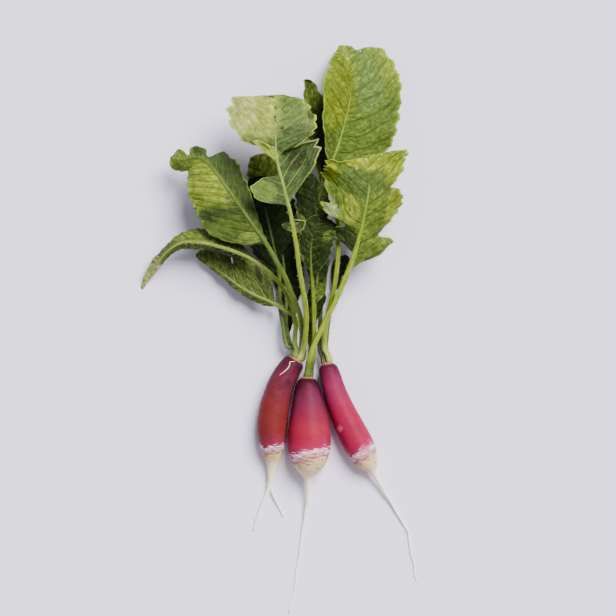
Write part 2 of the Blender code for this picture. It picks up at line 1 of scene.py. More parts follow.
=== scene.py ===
# %% [markdown]
# # A bunch of radishes
#
# Three long radishes with their leaves lie on a pale surface, seen from straight above.
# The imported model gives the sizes. This script dresses it: skins that turn from red to white,
# hair-thin tap roots, and leaves with veins, puckers, teeth, insect holes and grooved stalks.

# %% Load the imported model
import math
from dataclasses import dataclass, field

import bpy
import numpy as np
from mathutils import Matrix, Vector, noise


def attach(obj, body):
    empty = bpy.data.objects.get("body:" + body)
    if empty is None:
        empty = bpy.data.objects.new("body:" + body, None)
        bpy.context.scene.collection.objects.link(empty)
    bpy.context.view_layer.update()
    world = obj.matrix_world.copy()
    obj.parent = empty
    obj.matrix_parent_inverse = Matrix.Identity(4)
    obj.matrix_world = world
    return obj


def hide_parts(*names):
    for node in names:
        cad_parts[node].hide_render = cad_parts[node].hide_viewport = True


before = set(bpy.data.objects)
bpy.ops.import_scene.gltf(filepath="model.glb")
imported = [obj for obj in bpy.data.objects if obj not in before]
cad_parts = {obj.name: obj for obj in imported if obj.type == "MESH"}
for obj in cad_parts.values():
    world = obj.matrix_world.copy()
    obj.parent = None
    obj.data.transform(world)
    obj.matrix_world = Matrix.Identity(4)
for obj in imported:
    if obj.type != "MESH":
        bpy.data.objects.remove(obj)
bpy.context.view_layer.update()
print("nodes:", ", ".join(sorted(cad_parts)))

# %% [markdown]
# Everything below is in millimetres on a sheet of its own, as it was measured: X to the right, Y from
# the roots to the leaf tips, Z up from the surface. The model's own origin is under the middle of its
# box, so every finished point is moved by that middle and turned into metres in one place.

# %% Units
MM = 0.001
MIDDLE = np.array([-17.25, -12.7, 0.0])
FULL_TURN = 2 * math.pi


def to_model(points):
    """Points in millimetres on the working sheet, as metres in the model's frame."""
    return (np.asarray(points, float) - MIDDLE) * MM


def srgb(red, green, blue):
    """A colour of the photograph, 0 to 255, as the linear colour that Blender works in."""
    values = np.array([red, green, blue]) / 255.0
    linear = np.where(values <= 0.04045, values / 12.92, ((values + 0.055) / 1.055) ** 2.4)
    return (*linear.tolist(), 1.0)


# %% [markdown]
# The photograph was taken from straight above. A long lens from high up keeps the leaves, which stand
# higher than the roots, at nearly the same scale as them.

# %% Camera
VIEW_WIDTH = 0.3696
CAMERA_HEIGHT = 2.5
SENSOR_MM = 36.0

bpy.ops.object.select_all(action="DESELECT")
camera_at = to_model([0.0, 0.0, 0.0])
bpy.ops.object.camera_add(location=(camera_at[0], camera_at[1], CAMERA_HEIGHT), rotation=(0, 0, 0))
camera = bpy.context.object
camera.name = "camera_above"
camera.data.sensor_width = SENSOR_MM
camera.data.lens = SENSOR_MM * CAMERA_HEIGHT / VIEW_WIDTH
camera.data.clip_end = 20.0
bpy.context.scene.camera = camera

# %% [markdown]
# The light in the photograph is a window's: broad and soft, from the upper right. One wide sun gives
# the direction and the soft shadows to the lower left, and a pale world fills the rest.

# %% Surface and light
bpy.ops.mesh.primitive_plane_add(size=6.0, location=(0, 0, -0.0002))
surface = bpy.context.object
surface.name = "pale_surface"

bpy.ops.object.light_add(type="SUN", location=(0.8, 0.7, 1.2))
window = bpy.context.object
window.name = "window_light"
window.data.energy = 8.3
window.data.angle = math.radians(34.0)
window.rotation_mode = "QUATERNION"
window.rotation_quaternion = Vector((-0.44, -0.6, -1.0)).to_track_quat("-Z", "Y")

world = bpy.data.worlds.new("pale_room")
world.use_nodes = True
world.node_tree.nodes["Background"].inputs["Color"].default_value = (0.93, 0.95, 1.0, 1.0)
world.node_tree.nodes["Background"].inputs["Strength"].default_value = 0.44
bpy.context.scene.world = world

# %% [markdown]
# Materials are small node trees. One class keeps them readable: it fills sockets with numbers,
# colours or other nodes' outputs, and has a word for each kind of node that comes back often.


# %% Material helpers
class Paint:
    """A new material's node tree. The words below each add a node and give its output."""

    def __init__(self, name):
        self.material = bpy.data.materials.new(name)
        self.material.use_nodes = True
        self.tree = self.material.node_tree

    def fill(self, node, inputs):
        """inputs maps a socket's name or number to a value or an output."""
        for key, value in inputs.items():
            if isinstance(value, bpy.types.NodeSocket):
                self.tree.links.new(value, node.inputs[key])
            else:
                node.inputs[key].default_value = value

    def finish(self, **inputs):
        """The material, with the shader's sockets filled."""
        shader = self.tree.nodes["Principled BSDF"]
        self.fill(shader, {key.replace("_", " "): value for key, value in inputs.items()})
        return self.material

    def node(self, kind, inputs=(), **settings):
        """All outputs of a new shader node of this kind."""
        node = self.tree.nodes.new("ShaderNode" + kind)
        for key, value in settings.items():
            setattr(node, key, value)
        self.fill(node, dict(inputs))
        return node.outputs

    def math(self, operation, first, second=0.0):
        return self.node("Math", {0: first, 1: second}, operation=operation)[0]

    def times(self, first, second):
        return self.math("MULTIPLY", first, second)

    def plus(self, first, second):
        return self.math("ADD", first, second)

    def off(self, value, middle):
        """How far value is from middle."""
        return self.math("ABSOLUTE", self.math("SUBTRACT", value, middle))

    def swing(self, value, amount):
        """Noise from 0 to 1, as amount from one end to the other with zero in the middle."""
        return self.times(self.math("SUBTRACT", value, 0.5), amount)

    def step(self, value, low, high, start=0.0, end=1.0):
        """start below low, end above high, and smooth between them."""
        inputs = {"Value": value, "From Min": low, "From Max": high, "To Min": start, "To Max": end}
        return self.node("MapRange", inputs, interpolation_type="SMOOTHSTEP")["Result"]

    def mix(self, share, first, second):
        """The colour first where share is 0 and second where it is 1."""
        return self.node("Mix", {0: share, 6: first, 7: second}, data_type="RGBA")[2]

    def noise(self, vector, scale, detail=2.0, roughness=0.5):
        inputs = {"Vector": vector, "Scale": scale, "Detail": detail, "Roughness": roughness}
        return self.node("TexNoise", inputs)["Fac"]

    def cells(self, vector, scale, **settings):
        return self.node("TexVoronoi", {"Vector": vector, "Scale": scale}, **settings)

    def number(self, name):
        """A number that the mesh carries at each point."""
        return self.node("Attribute", attribute_name=name)["Fac"]

    def uv(self):
        return self.node("UVMap", uv_map="UVMap")["UV"]

    def place(self):
        return self.node("TexCoord")["Object"]

    def across(self, vector):
        return self.node("SeparateXYZ", {"Vector": vector})["X"]

    def stretched(self, vector, x, y):
        return self.node("Mapping", {"Vector": vector, "Scale": (x, y, 1.0)})["Vector"]

    def bump(self, height, strength, distance):
        inputs = {"Height": height, "Strength": strength, "Distance": distance}
        return self.node("Bump", inputs)["Normal"]


def plain_material(name, colour, roughness=0.6):
    """One colour all over, hardly shiny."""
    return Paint(name).finish(Base_Color=colour, Roughness=roughness, Specular_IOR_Level=0.1)


def shaded(colour, share):
    """The same hue, darker where share is below 1 and lighter where it is above."""
    return (*(min(1.0, share * value) for value in colour[:3]), 1.0)


# %% Surface paint
plaster = Paint("pale_plaster").finish(Base_Color=srgb(229, 223, 246), Roughness=0.9)
surface.data.materials.append(plaster)

# %% [markdown]
# Roots, stalks and leaf blades all follow a bent line, so each begins as the same thing: a flat grid
# whose long side runs along that line. A root or a stalk rolls the grid up into a tube, and a leaf
# spreads it out to both sides. These helpers lay the grid out, place its vertices, and give it a UV
# map in centimetres, so that veins and streaks follow the surface.


# %% Lines and keys
def unit(vectors):
    return vectors / np.linalg.norm(vectors, axis=-1, keepdims=True)


def on_curve(points, places):
    """Points of the smooth curve through points, at places counted in those points."""
    points = np.asarray(points, float)
    padded = np.vstack([2 * points[0] - points[1], points, 2 * points[-1] - points[-2]])
    places = np.clip(places, 0, len(points) - 1)
    index = np.minimum(places.astype(int), len(points) - 2)
    part = (places - index)[:, None]
    a, b, c, d = (padded[index + k] for k in range(4))
    return 0.5 * (
        2 * b
        + (c - a) * part
        + (2 * a - 5 * b + 4 * c - d) * part**2
        + (3 * b - a - 3 * c + d) * part**3
    )


def along(keys, places):
    """The value at each place, straight between the (place, value) pairs of keys. A single number
    for keys holds everywhere."""
    if isinstance(keys, (int, float)):
        return np.full(len(places), float(keys))
    return np.interp(places, [k[0] for k in keys], [k[1] for k in keys])


def smooth_along(keys, places):
    """Like along, but rounded at the pairs, and never beyond the two values it runs between."""
    at, value = np.array(keys, float).T
    step = np.diff(at)
    slope = np.diff(value) / step
    same_way = slope[:-1] * slope[1:] > 0
    mean = 2 * slope[:-1] * slope[1:] / np.where(same_way, slope[:-1] + slope[1:], 1.0)
    turn = np.concatenate([slope[:1], np.where(same_way, mean, 0.0), slope[-1:]])
    index = np.clip(np.searchsorted(at, places) - 1, 0, len(step) - 1)
    part = np.clip((places - at[index]) / step[index], 0.0, 1.0)
    low, high = value[index], value[index + 1]
    bend_low, bend_high = turn[index] * step[index], turn[index + 1] * step[index]
    return (
        low
        + part**2 * (3 - 2 * part) * (high - low)
        + part * (1 - part) ** 2 * bend_low
        - part**2 * (1 - part) * bend_high
    )


def even_places(points, start, end, step):
    """Places from start to end, about step millimetres apart, and their distance from start."""
    fine = np.linspace(start, end, 1500)
    line = on_curve(np.asarray(points, float)[:, :3], fine)
    run = np.concatenate([[0.0], np.cumsum(np.linalg.norm(np.diff(line, axis=0), axis=1))])
    wanted = np.linspace(0.0, run[-1], max(4, int(run[-1] / step) + 1))
    return np.interp(wanted, run, fine), wanted


def frames(points):
    """Unit tangents, left sides and upper normals along a line of points."""
    tangents = unit(np.gradient(points, axis=0))
    left = unit(np.cross([0.0, 0.0, 1.0], tangents))
    return tangents, left, np.cross(tangents, left)


def sampled(points, size, seed, value):
    """value of each point, counted in size and moved to a place that the seed gives."""
    flat = np.asarray(points, float).reshape(-1, points.shape[-1]) / size
    shift = Vector((seed * 3.1, seed * 7.7, seed * 1.3))
    return np.array([value(Vector(p) + shift) for p in flat])


def smooth_noise(points, size, seed):
    """Gentle noise from -1 to 1 at each point, whose bumps are about size apart."""
    return sampled(points, size, seed, noise.noise).reshape(points.shape[:-1])


def pillows(points, size, seed):
    """Rounded cushions about size apart, 0 in the creases between them and 1 on top."""
    near = sampled(points, size, seed, lambda point: noise.voronoi(point)[0][:2])
    rise = np.clip(1.8 * (near[:, 1] - near[:, 0]), 0.0, 1.0)
    return np.sqrt(rise).reshape(points.shape[:-1])


# %% A grid to bend
def flat_grid(name, columns, rows):
    """A flat square grid of columns by rows points, and the column and row of each vertex."""
    bpy.ops.object.select_all(action="DESELECT")
    bpy.ops.mesh.primitive_grid_add(x_subdivisions=columns - 1, y_subdivisions=rows - 1, size=1.0)
    piece = bpy.context.object
    piece.name = piece.data.name = name
    places = np.empty(len(piece.data.vertices) * 3)
    piece.data.vertices.foreach_get("co", places)
    places = places.reshape(-1, 3) + 0.5
    column = np.rint(places[:, 0] * (columns - 1)).astype(int)
    row = np.rint(places[:, 1] * (rows - 1)).astype(int)
    return piece, column, row


def place_vertices(piece, points):
    piece.data.vertices.foreach_set("co", to_model(points).reshape(-1))
    piece.data.update()


def write_uv(piece, across, length):
    """A UV map from two numbers for each vertex."""
    corners = np.empty(len(piece.data.loops), int)
    piece.data.loops.foreach_get("vertex_index", corners)
    uv = np.stack([across[corners], length[corners]], axis=1)
    piece.data.uv_layers[0].data.foreach_set("uv", uv.reshape(-1))


def write_numbers(piece, **numbers):
    """One number of each name for each vertex, for a material to read."""
    for name, values in numbers.items():
        attribute = piece.data.attributes.new(name, "FLOAT", "POINT")
        attribute.data.foreach_set("value", np.asarray(values, float))


def select_only(pieces):
    bpy.ops.object.select_all(action="DESELECT")
    for piece in pieces:
        piece.select_set(True)
    bpy.context.view_layer.objects.active = pieces[0]


def close_tube(piece):
    """Joins a rolled-up grid along its seam and closes its two ends."""
    select_only([piece])
    bpy.ops.object.mode_set(mode="EDIT")
    bpy.ops.mesh.select_all(action="SELECT")
    bpy.ops.mesh.remove_doubles(threshold=1e-6)
    bpy.ops.mesh.select_all(action="SELECT")
    bpy.ops.mesh.fill_holes(sides=0)
    bpy.ops.mesh.select_all(action="SELECT")
    bpy.ops.mesh.normals_make_consistent(inside=False)
    bpy.ops.object.mode_set(mode="OBJECT")
    bpy.ops.object.shade_smooth()


def join_pieces(pieces, name):
    """Several pieces as one object, in the first one's place."""
    select_only(pieces)
    if len(pieces) > 1:
        bpy.ops.object.join()
    pieces[0].name = pieces[0].data.name = name
    return pieces[0]


# %% [markdown]
# Bristles on stalks, rootlets on tap roots and the dry threads at a crown are one kind of piece: many
# thin three-sided spikes with a bend in them. They come from one grid, four rows to a spike, whose
# faces between one spike and the next are taken out.

# %% Hairs
HAIR_ROWS = 4
HAIR_SIDES = 3


def hairs(name, feet, bends, tips, radius, colour, roughness=0.6):
    """One piece with a spike from each foot through its bend to its tip. radius is at the bend."""
    feet, bends, tips = (np.asarray(points, float) for points in (feet, bends, tips))
    piece, column, row = flat_grid(name, HAIR_SIDES + 1, HAIR_ROWS * len(feet))
    hair, level = row // HAIR_ROWS, row % HAIR_ROWS
    stops = np.stack([feet, 0.7 * feet + 0.3 * bends, bends, tips])
    heading = unit(tips - feet)[hair]
    side = unit(np.cross(heading, np.array([0.31, 0.43, 0.85])))
    other = np.cross(heading, side)
    girth = np.array([0.0, 1.0, 0.75, 0.0])[level] * radius
    turn = FULL_TURN * column / HAIR_SIDES
    points = stops[level, hair] + (girth * np.cos(turn))[:, None] * side
    points += (girth * np.sin(turn))[:, None] * other
    points[:, 2] = np.maximum(points[:, 2], 0.02)
    place_vertices(piece, points)
    bpy.ops.object.mode_set(mode="EDIT")
    bpy.ops.mesh.select_mode(type="FACE")
    bpy.ops.mesh.select_all(action="DESELECT")
    bpy.ops.object.mode_set(mode="OBJECT")
    for face in piece.data.polygons:
        face.select = len({int(hair[vertex]) for vertex in face.vertices}) > 1
    bpy.ops.object.mode_set(mode="EDIT")
    bpy.ops.mesh.delete(type="ONLY_FACE")
    bpy.ops.mesh.select_mode(type="EDGE")
    bpy.ops.mesh.select_all(action="SELECT")
    bpy.ops.mesh.delete_loose(use_verts=True, use_edges=True, use_faces=False)
    bpy.ops.mesh.select_all(action="SELECT")
    bpy.ops.mesh.remove_doubles(threshold=1e-7)
    bpy.ops.mesh.select_mode(type="VERT")
    bpy.ops.mesh.select_all(action="SELECT")
    bpy.ops.mesh.normals_make_consistent(inside=False)
    bpy.ops.object.mode_set(mode="OBJECT")
    # The material is named for a single hair.
    piece.data.materials.append(plain_material(name.removesuffix("s"), colour, roughness))
    return piece

# %% [markdown]
# A radish root is a body of revolution bent along a line: narrow at the crown, swollen in the middle
# and drawn out into the tap root. Rolling a grid around the line, with a radius given at each of its
# points, makes body and tap root as one skin without a seam. Where it rests it is flattened a little,
# as a soft heavy thing is, and slow noise keeps it from looking turned on a lathe.


# %% Root shape
@dataclass
class Root:
    """A radish: its centre line from crown to tap root's end, as (x, y, z, radius)."""

    name: str
    line: list
    white_from: float
    fork: list = field(default_factory=list)


def root_tube(name, line, sides, step, seed, shoulder=0.0):
    """A tube along the line's points. It carries millimetres from the start as 'run'."""
    line = np.array(line, float)
    places, run = even_places(line, 0, len(line) - 1, step)
    centre = on_curve(line, places)
    centres, radius = centre[:, :3].copy(), centre[:, 3].copy()
    slim = np.interp(radius, [0.5, 2.0], [0.18, 0.0])
    radius -= slim
    centres[:, 2] -= slim
    if shoulder:
        rise = np.clip(run / shoulder, 0.0, 1.0)
        radius *= np.maximum(np.sqrt(1.0 - (1.0 - rise) ** 2), 0.02)
    _, left, up = frames(centre[:, :3])
    sway = 0.55 * np.interp(radius, [0.9, 2.2], [1.0, 0.0]) * np.interp(run, [0.0, 8.0], [0.0, 1.0])
    track = np.stack([run, 0 * run, 0 * run], axis=1)
    centres += (sway * smooth_noise(track, 7.0, seed + 21))[:, None] * left
    piece, column, row = flat_grid(name, sides + 1, len(places))
    angle = FULL_TURN * column / sides
    around = np.cos(angle)[:, None] * left[row] + np.sin(angle)[:, None] * up[row]
    probe = np.stack([np.cos(angle) * 6, np.sin(angle) * 6, run[row]], axis=1)
    bump = 0.020 * smooth_noise(probe, 9.0, seed) + 0.008 * smooth_noise(probe, 3.0, seed + 5)
    points = centres[row] + (radius[row] * (1.0 + bump))[:, None] * around
    points[:, 2] = np.maximum(points[:, 2], 0.0)
    place_vertices(piece, points)
    write_uv(piece, column / sides, run[row] / 10.0)
    write_numbers(piece, run=run[row], girth=radius[row])
    close_tube(piece)
    return piece


# %% [markdown]
# The skin is one material for each root, because each is tinted a little differently. It reads how far
# along the root a point lies: a tan crown, dark purple shoulders, red body, a torn boundary of pink
# and white streaks that run around the root, and the pale end. The shoulders' purple is partly the
# root's own and partly painted shade from the stalks over them, and the sides of the upper part are
# darkened towards it as painted shade, leaving a lighter top. The boundary is a level of length that
# noise stretched around the root moves up and down.


# %% Root skin
def skin_material(name, colours, white_at, tilt, blots):
    """Root skin. colours are its crown's, upper part's, body's and shade's, and white_at is where the
    red ends, in mm."""
    crown, upper, body, shade = (srgb(*colour) for colour in colours)
    paint = Paint(name)
    uv, place = paint.uv(), paint.place()
    run, girth = paint.number("run"), paint.number("girth")

    ringed = paint.stretched(uv, 8.0, 10.0)
    streaks = paint.noise(ringed, 1.6, detail=3.0)
    mottle = paint.noise(place, 180.0, detail=4.0, roughness=0.6)
    wander = paint.swing(paint.noise(paint.stretched(uv, 4.0, 1.2), 1.0), 6.0)
    wandering = paint.plus(run, wander)
    turn = paint.times(paint.across(uv), FULL_TURN)
    slant = paint.times(paint.math("COSINE", turn), tilt)
    level = paint.plus(paint.plus(wandering, paint.swing(streaks, 13.0)), slant)

    # The crown's dark purple is partly the root's own colour and partly painted shade from the stalks
    # over it.
    red = paint.mix(paint.step(wandering, 2.0, 15.0), crown, upper)
    red = paint.mix(paint.step(wandering, 13.0, 36.0), red, body)
    red = paint.mix(paint.step(mottle, 0.35, 0.75, 0.0, 0.35), red, shade)
    flush = paint.step(level, white_at - 13.0, white_at - 1.0, 0.0, 0.42)
    red = paint.mix(flush, red, srgb(176, 48, 112))
    speck = paint.step(paint.cells(place, 260.0)["Distance"], 0.05, 0.13, 0.14, 0.0)
    red = paint.mix(speck, red, srgb(190, 90, 120))

    to_pale = paint.step(run, white_at, white_at + 20.0)
    cream = paint.mix(to_pale, srgb(226, 194, 140), srgb(255, 244, 222))
    stain = paint.noise(ringed, 3.2, detail=4.0, roughness=0.65)
    cream = paint.mix(paint.step(stain, 0.54, 0.74, 0.0, 0.3), cream, srgb(140, 92, 60))
    skin = paint.mix(paint.step(level, white_at - 1.6, white_at + 1.4), red, cream)
    torn = paint.step(paint.off(level, white_at - 2.6), 0.0, 2.4, 0.92, 0.0)
    torn = paint.times(torn, paint.step(streaks, 0.4, 0.5))
    skin = paint.mix(torn, skin, srgb(255, 226, 236))
    dashes = paint.noise(paint.stretched(uv, 7.0, 26.0), 1.5, detail=3.0)
    near = paint.step(paint.off(run, white_at + 1.5), 2.0, 8.0, 1.0, 0.0)
    dash = paint.times(paint.step(dashes, 0.54, 0.61, 0.0, 0.85), near)
    skin = paint.mix(dash, skin, srgb(74, 26, 46))
    # The sides of the upper root, turned from the light, are darkened towards the crown's colour as
    # painted shade.
    shaded_flank = paint.step(paint.math("SINE", turn), 0.25, 0.85, 1.0, 0.0)
    shaded_flank = paint.times(shaded_flank, paint.step(run, 6.0, 34.0, 0.85, 0.0))
    skin = paint.mix(shaded_flank, skin, crown)
    flat = paint.node("VectorMath", {0: place, 1: (1.0, 1.0, 0.0)}, operation="MULTIPLY")[0]
    for x, y, radius, colour in blots:
        size = radius * MM
        spot = {0: flat, 1: tuple(to_model([x, y, 0.0]))}
        gap = paint.node("VectorMath", spot, operation="DISTANCE")["Value"]
        far = paint.plus(gap, paint.swing(mottle, 5.0 * size))
        skin = paint.mix(paint.step(far, 0.2 * size, 1.4 * size, 0.7, 0.0), skin, srgb(*colour))
    tan = paint.step(paint.plus(run, paint.times(wander, 0.12)), 0.9, 2.4, 0.85, 0.0)
    skin = paint.mix(tan, skin, srgb(170, 126, 96))

    dull = paint.step(level, white_at - 3.0, white_at + 1.0, 0.36, 0.58)
    rings = paint.noise(ringed, 4.5, detail=3.0)
    height = paint.plus(paint.times(rings, 0.7), paint.times(mottle, 0.3))
    strength = paint.times(paint.step(girth, 0.6, 4.0, 0.25, 1.0), 0.3)
    return paint.finish(
        Base_Color=skin,
        Roughness=paint.plus(dull, paint.times(mottle, 0.08)),
        Specular_IOR_Level=0.06,
        Normal=paint.bump(height, strength, 0.0006),
    )


# %% [markdown]
# Short hairs stand along the tap roots, dry threads of old leaf bases stand around the crowns, and the
# left root has a healed crack. A crack is a thin tube laid on the skin.


# %% Root details
def rootlets(root, seed):
    chance = np.random.default_rng(seed + 41)
    feet, bends, tips = [], [], []
    for line in (root.line[-10:], root.fork):
        if not line:
            continue
        line = np.array(line, float)
        places = np.sort(chance.uniform(0.5, len(line) - 1.02, 5 * len(line)))
        centre = on_curve(line, places)
        tangents, left, _ = frames(centre[:, :3])
        side = np.where(chance.random(len(places)) < 0.5, -1.0, 1.0)[:, None]
        length = chance.uniform(0.5, 2.6, len(places))[:, None] * (0.4 + places / len(line))[:, None]
        out = side * left + chance.uniform(0.1, 1.1, (len(places), 1)) * tangents
        start = centre[:, :3] + 0.5 * centre[:, 3:] * side * left
        feet.append(start)
        bends.append(start + 0.6 * length * out)
        tips.append(start + length * (out + 0.5 * tangents))
    stops = (np.vstack(part) for part in (feet, bends, tips))
    return hairs(root.name + "_rootlets", *stops, 0.09, srgb(250, 238, 214))


def crown_threads(root, seed, count):
    chance = np.random.default_rng(seed + 51)
    line = np.array(root.line[:2], float)
    heading = unit(line[0, :3] - line[1, :3])
    side = unit(np.cross(heading, [0.0, 0.0, 1.0]))
    over = np.cross(side, heading)
    turn = chance.uniform(0, FULL_TURN, count)[:, None]
    spoke = np.cos(turn) * side + np.sin(turn) * over
    ring = 0.72 * line[0, 3] * chance.uniform(0.8, 1.1, (count, 1))
    feet = line[0, :3] + ring * spoke - 0.8 * heading
    length = chance.uniform(1.2, 4.2, (count, 1))
    out = chance.uniform(-0.5, 0.5, (count, 1)) * spoke + chance.uniform(-0.4, 0.4, (count, 1)) * over
    bends = feet + 0.5 * length * heading + 0.4 * length * out
    tips = feet + length * (heading + out)
    return hairs(root.name + "_threads", feet, bends, tips, 0.2, srgb(150, 118, 66), 0.8)


def on_top(root, points):
    """Points given as x and y, put on the top of the root's skin."""
    line = np.array(root.line, float)
    places, _ = even_places(line, 0, len(line) - 1, 0.5)
    centre = on_curve(line, places)
    raised = []
    for x, y in points:
        away = np.hypot(centre[:, 0] - x, centre[:, 1] - y)
        nearest = centre[np.argmin(away)]
        raised.append((x, y, nearest[2] + math.sqrt(max(nearest[3] ** 2 - away.min() ** 2, 0.1))))
    return raised


def healed_crack(root, seed, crack):
    line = [(x, y, z + 0.1, 0.44) for x, y, z in on_top(root, crack)]
    line[0], line[-1] = (*line[0][:3], 0.3), (*line[-1][:3], 0.3)
    piece = root_tube(root.name + "_crack", line, 8, 0.4, seed)
    piece.data.materials.append(plain_material(root.name + "_crack", srgb(255, 214, 208)))
    return piece


# %% Finished root
SKIN_SIDES = 56
FORK_SIDES = 14
TUBE_STEP = 0.8


def dress_root(root, seed, colours, shoulder, white_shift=0.0, tilt=0.0, threads=18, spots=(), crack=()):
    """The finished root in place of its node."""
    _, whole = even_places(root.line, 0, root.white_from, 0.5)
    red_length = float(whole[-1])
    pieces = [root_tube(root.name + "_skin", root.line, SKIN_SIDES, TUBE_STEP, seed, shoulder)]
    if root.fork:
        fork = root_tube(root.name + "_fork", root.fork, FORK_SIDES, TUBE_STEP, seed + 9)
        run = np.empty(len(fork.data.vertices))
        fork.data.attributes["run"].data.foreach_get("value", run)
        fork.data.attributes["run"].data.foreach_set("value", run + red_length + 30.0)
        pieces.append(fork)
    skin = join_pieces(pieces, root.name + "_skin")
    paint = skin_material(root.name + "_skin", colours, red_length + white_shift, tilt, spots)
    skin.data.materials.append(paint)
    pieces = [skin, rootlets(root, seed), crown_threads(root, seed, threads)]
    if crack:
        pieces.append(healed_crack(root, seed, crack))
    piece = join_pieces(pieces, root.name + "_skin")
    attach(piece, "root")
    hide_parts(root.name)
    print(piece.name, len(piece.data.vertices), "vertices, red ends at", round(red_length), "mm")


# %% [markdown]
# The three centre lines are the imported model's own, but the left root lies up to 0.7 mm nearer to the
# middle one, so that they touch: x, y, z and radius at each point, from the crown down to the end of
# the tap root. The left root's tap root forks.

# %% Root centre lines
ROOTS = {
    "left": Root(
        "root_left",
        [
            (-6.6, -29.4, 10.5, 5.4), (-9.0, -33.5, 10.4, 6.6), (-12.6, -39.0, 10.1, 7.5),
            (-16.2, -46.5, 9.6, 8.2), (-18.6, -54.0, 9.2, 8.7), (-20.4, -62.0, 8.7, 9.1),
            (-21.4, -71.0, 8.7, 9.0), (-21.2, -79.5, 8.2, 8.2), (-21.0, -86.0, 7.4, 6.4),
            (-21.0, -91.5, 6.2, 4.2), (-21.8, -98.0, 4.6, 2.6), (-22.6, -104.0, 3.0, 1.6),
            (-24.2, -109.5, 1.9, 1.1), (-27.4, -118.0, 1.2, 0.9), (-30.6, -126.0, 0.9, 0.7),
            (-32.5, -133.5, 0.6, 0.55),
        ],
        white_from=8,
        fork=[
            (-22.9, -105.5, 2.7, 1.1), (-21.3, -111.0, 1.8, 0.9), (-18.6, -117.5, 1.1, 0.75),
            (-14.6, -125.0, 0.6, 0.55),
        ],
    ),
    "middle": Root(
        "root_middle",
        [
            (-0.3, -40.2, 12.4, 4.2), (-0.4, -43.5, 12.5, 5.8), (-0.3, -49.5, 12.5, 8.0),
            (0.2, -57.0, 12.5, 9.7), (0.6, -65.0, 12.4, 11.5), (0.8, -73.0, 12.2, 12.6),
            (0.9, -80.0, 12.2, 12.7), (0.7, -87.0, 12.1, 12.0), (0.5, -92.5, 11.4, 10.0),
            (0.2, -97.0, 10.4, 6.8), (0.1, -100.5, 9.4, 3.4), (0.2, -106.0, 7.4, 1.9),
            (0.0, -114.0, 4.6, 1.3), (-1.2, -122.0, 2.3, 1.0), (-3.0, -133.0, 1.1, 0.9),
            (-4.8, -145.0, 0.8, 0.8), (-6.8, -158.0, 0.7, 0.65), (-8.6, -170.0, 0.6, 0.6),
            (-11.4, -182.5, 0.6, 0.55),
        ],
        white_from=8,
    ),
    "right": Root(
        "root_right",
        [
            (11.4, -31.8, 9.6, 4.4), (12.0, -35.5, 9.6, 5.6), (13.3, -41.0, 9.5, 6.4),
            (15.3, -48.0, 9.3, 6.9), (18.2, -56.5, 9.0, 7.5), (22.2, -65.5, 8.8, 8.3),
            (26.6, -74.5, 8.6, 8.9), (30.8, -82.5, 8.6, 8.9), (34.0, -88.8, 8.3, 7.7),
            (36.8, -93.8, 7.6, 5.4), (38.6, -97.4, 6.6, 2.6), (41.0, -101.4, 5.4, 1.6),
            (44.4, -107.0, 3.9, 1.3), (50.2, -117.0, 1.9, 1.0), (56.0, -127.0, 1.0, 0.9),
            (59.6, -133.4, 0.8, 0.8), (60.6, -139.4, 0.7, 0.75), (61.6, -146.2, 0.7, 0.7),
            (63.2, -153.4, 0.6, 0.65), (64.4, -160.0, 0.6, 0.6), (65.2, -163.8, 0.5, 0.5),
        ],
        white_from=8,
    ),
}


# %% The three roots
# Each root's first colour, the crown's dark purple, is partly its own and partly painted shade from the
# stalks; the middle root's is darkest.
dress_root(
    ROOTS["left"], 3, [(58, 18, 34), (98, 34, 54), (110, 36, 36), (78, 26, 28)], 4.0,
    spots=[(-13.5, -45.5, 3.2, (62, 22, 36))],
    crack=[(-7.8, -31.8), (-10.8, -32.2), (-11.2, -34.4), (-13.6, -37.4), (-16.8, -40.2)],
)
dress_root(
    ROOTS["middle"], 5, [(34, 10, 22), (96, 32, 58), (150, 27, 54), (116, 24, 48)], 4.5,
    white_shift=-3.0, tilt=2.5, threads=34,
)
dress_root(
    ROOTS["right"], 8, [(66, 18, 42), (134, 34, 72), (146, 22, 58), (108, 20, 48)], 5.0,
    spots=[(19.2, -72.6, 1.7, (190, 92, 124)), (34.5, -84.5, 3.4, (206, 96, 140))],
)

# %% [markdown]
# A radish leaf is a stalk that runs on as the midrib, with small lobes at its sides and a large
# toothed end blade. Its table says, by the place along it, how far the blade reaches to each side,
# how that side leans forward, folds at the midrib and curls at the margin. The side veins of a real
# leaf run forward at the same lean, so the grid's own cross lines are the veins' lines.


# %% Leaf description
SEAT_RING = {"left": 3.1, "middle": 2.0, "right": 2.1}
GAP = 0.3
BLADE_THICK = 0.45


@dataclass
class Leaf:
    """A leaf on a crown. Places along it are counted in points of its route: 0 is its foot on the
    crown, 1 is 4 mm out of it, and 2 is the first point of route.

    Every other list holds (place, value) pairs: the stalk's radius, how far the blade reaches out to
    the left and to the right of the midrib, and how far the whole blade rolls, left side up. lean,
    fold and curl have a list or a single number for each side, left first: in degrees, how far the
    side leans forward, folds up at the midrib and curls up towards its margin.
    """

    name: str
    root: str
    seat: float
    route: list
    stalk: list
    left: list
    right: list
    lean: tuple
    fold: tuple
    curl: tuple
    roll: list = field(default_factory=lambda: [(0, 0)])
    teeth: float = 2.5
    tooth_depth: float = 0.09
    wave_height: float = 1.2

    def blade_start(self):
        return min(self.left[0][0], self.right[0][0])


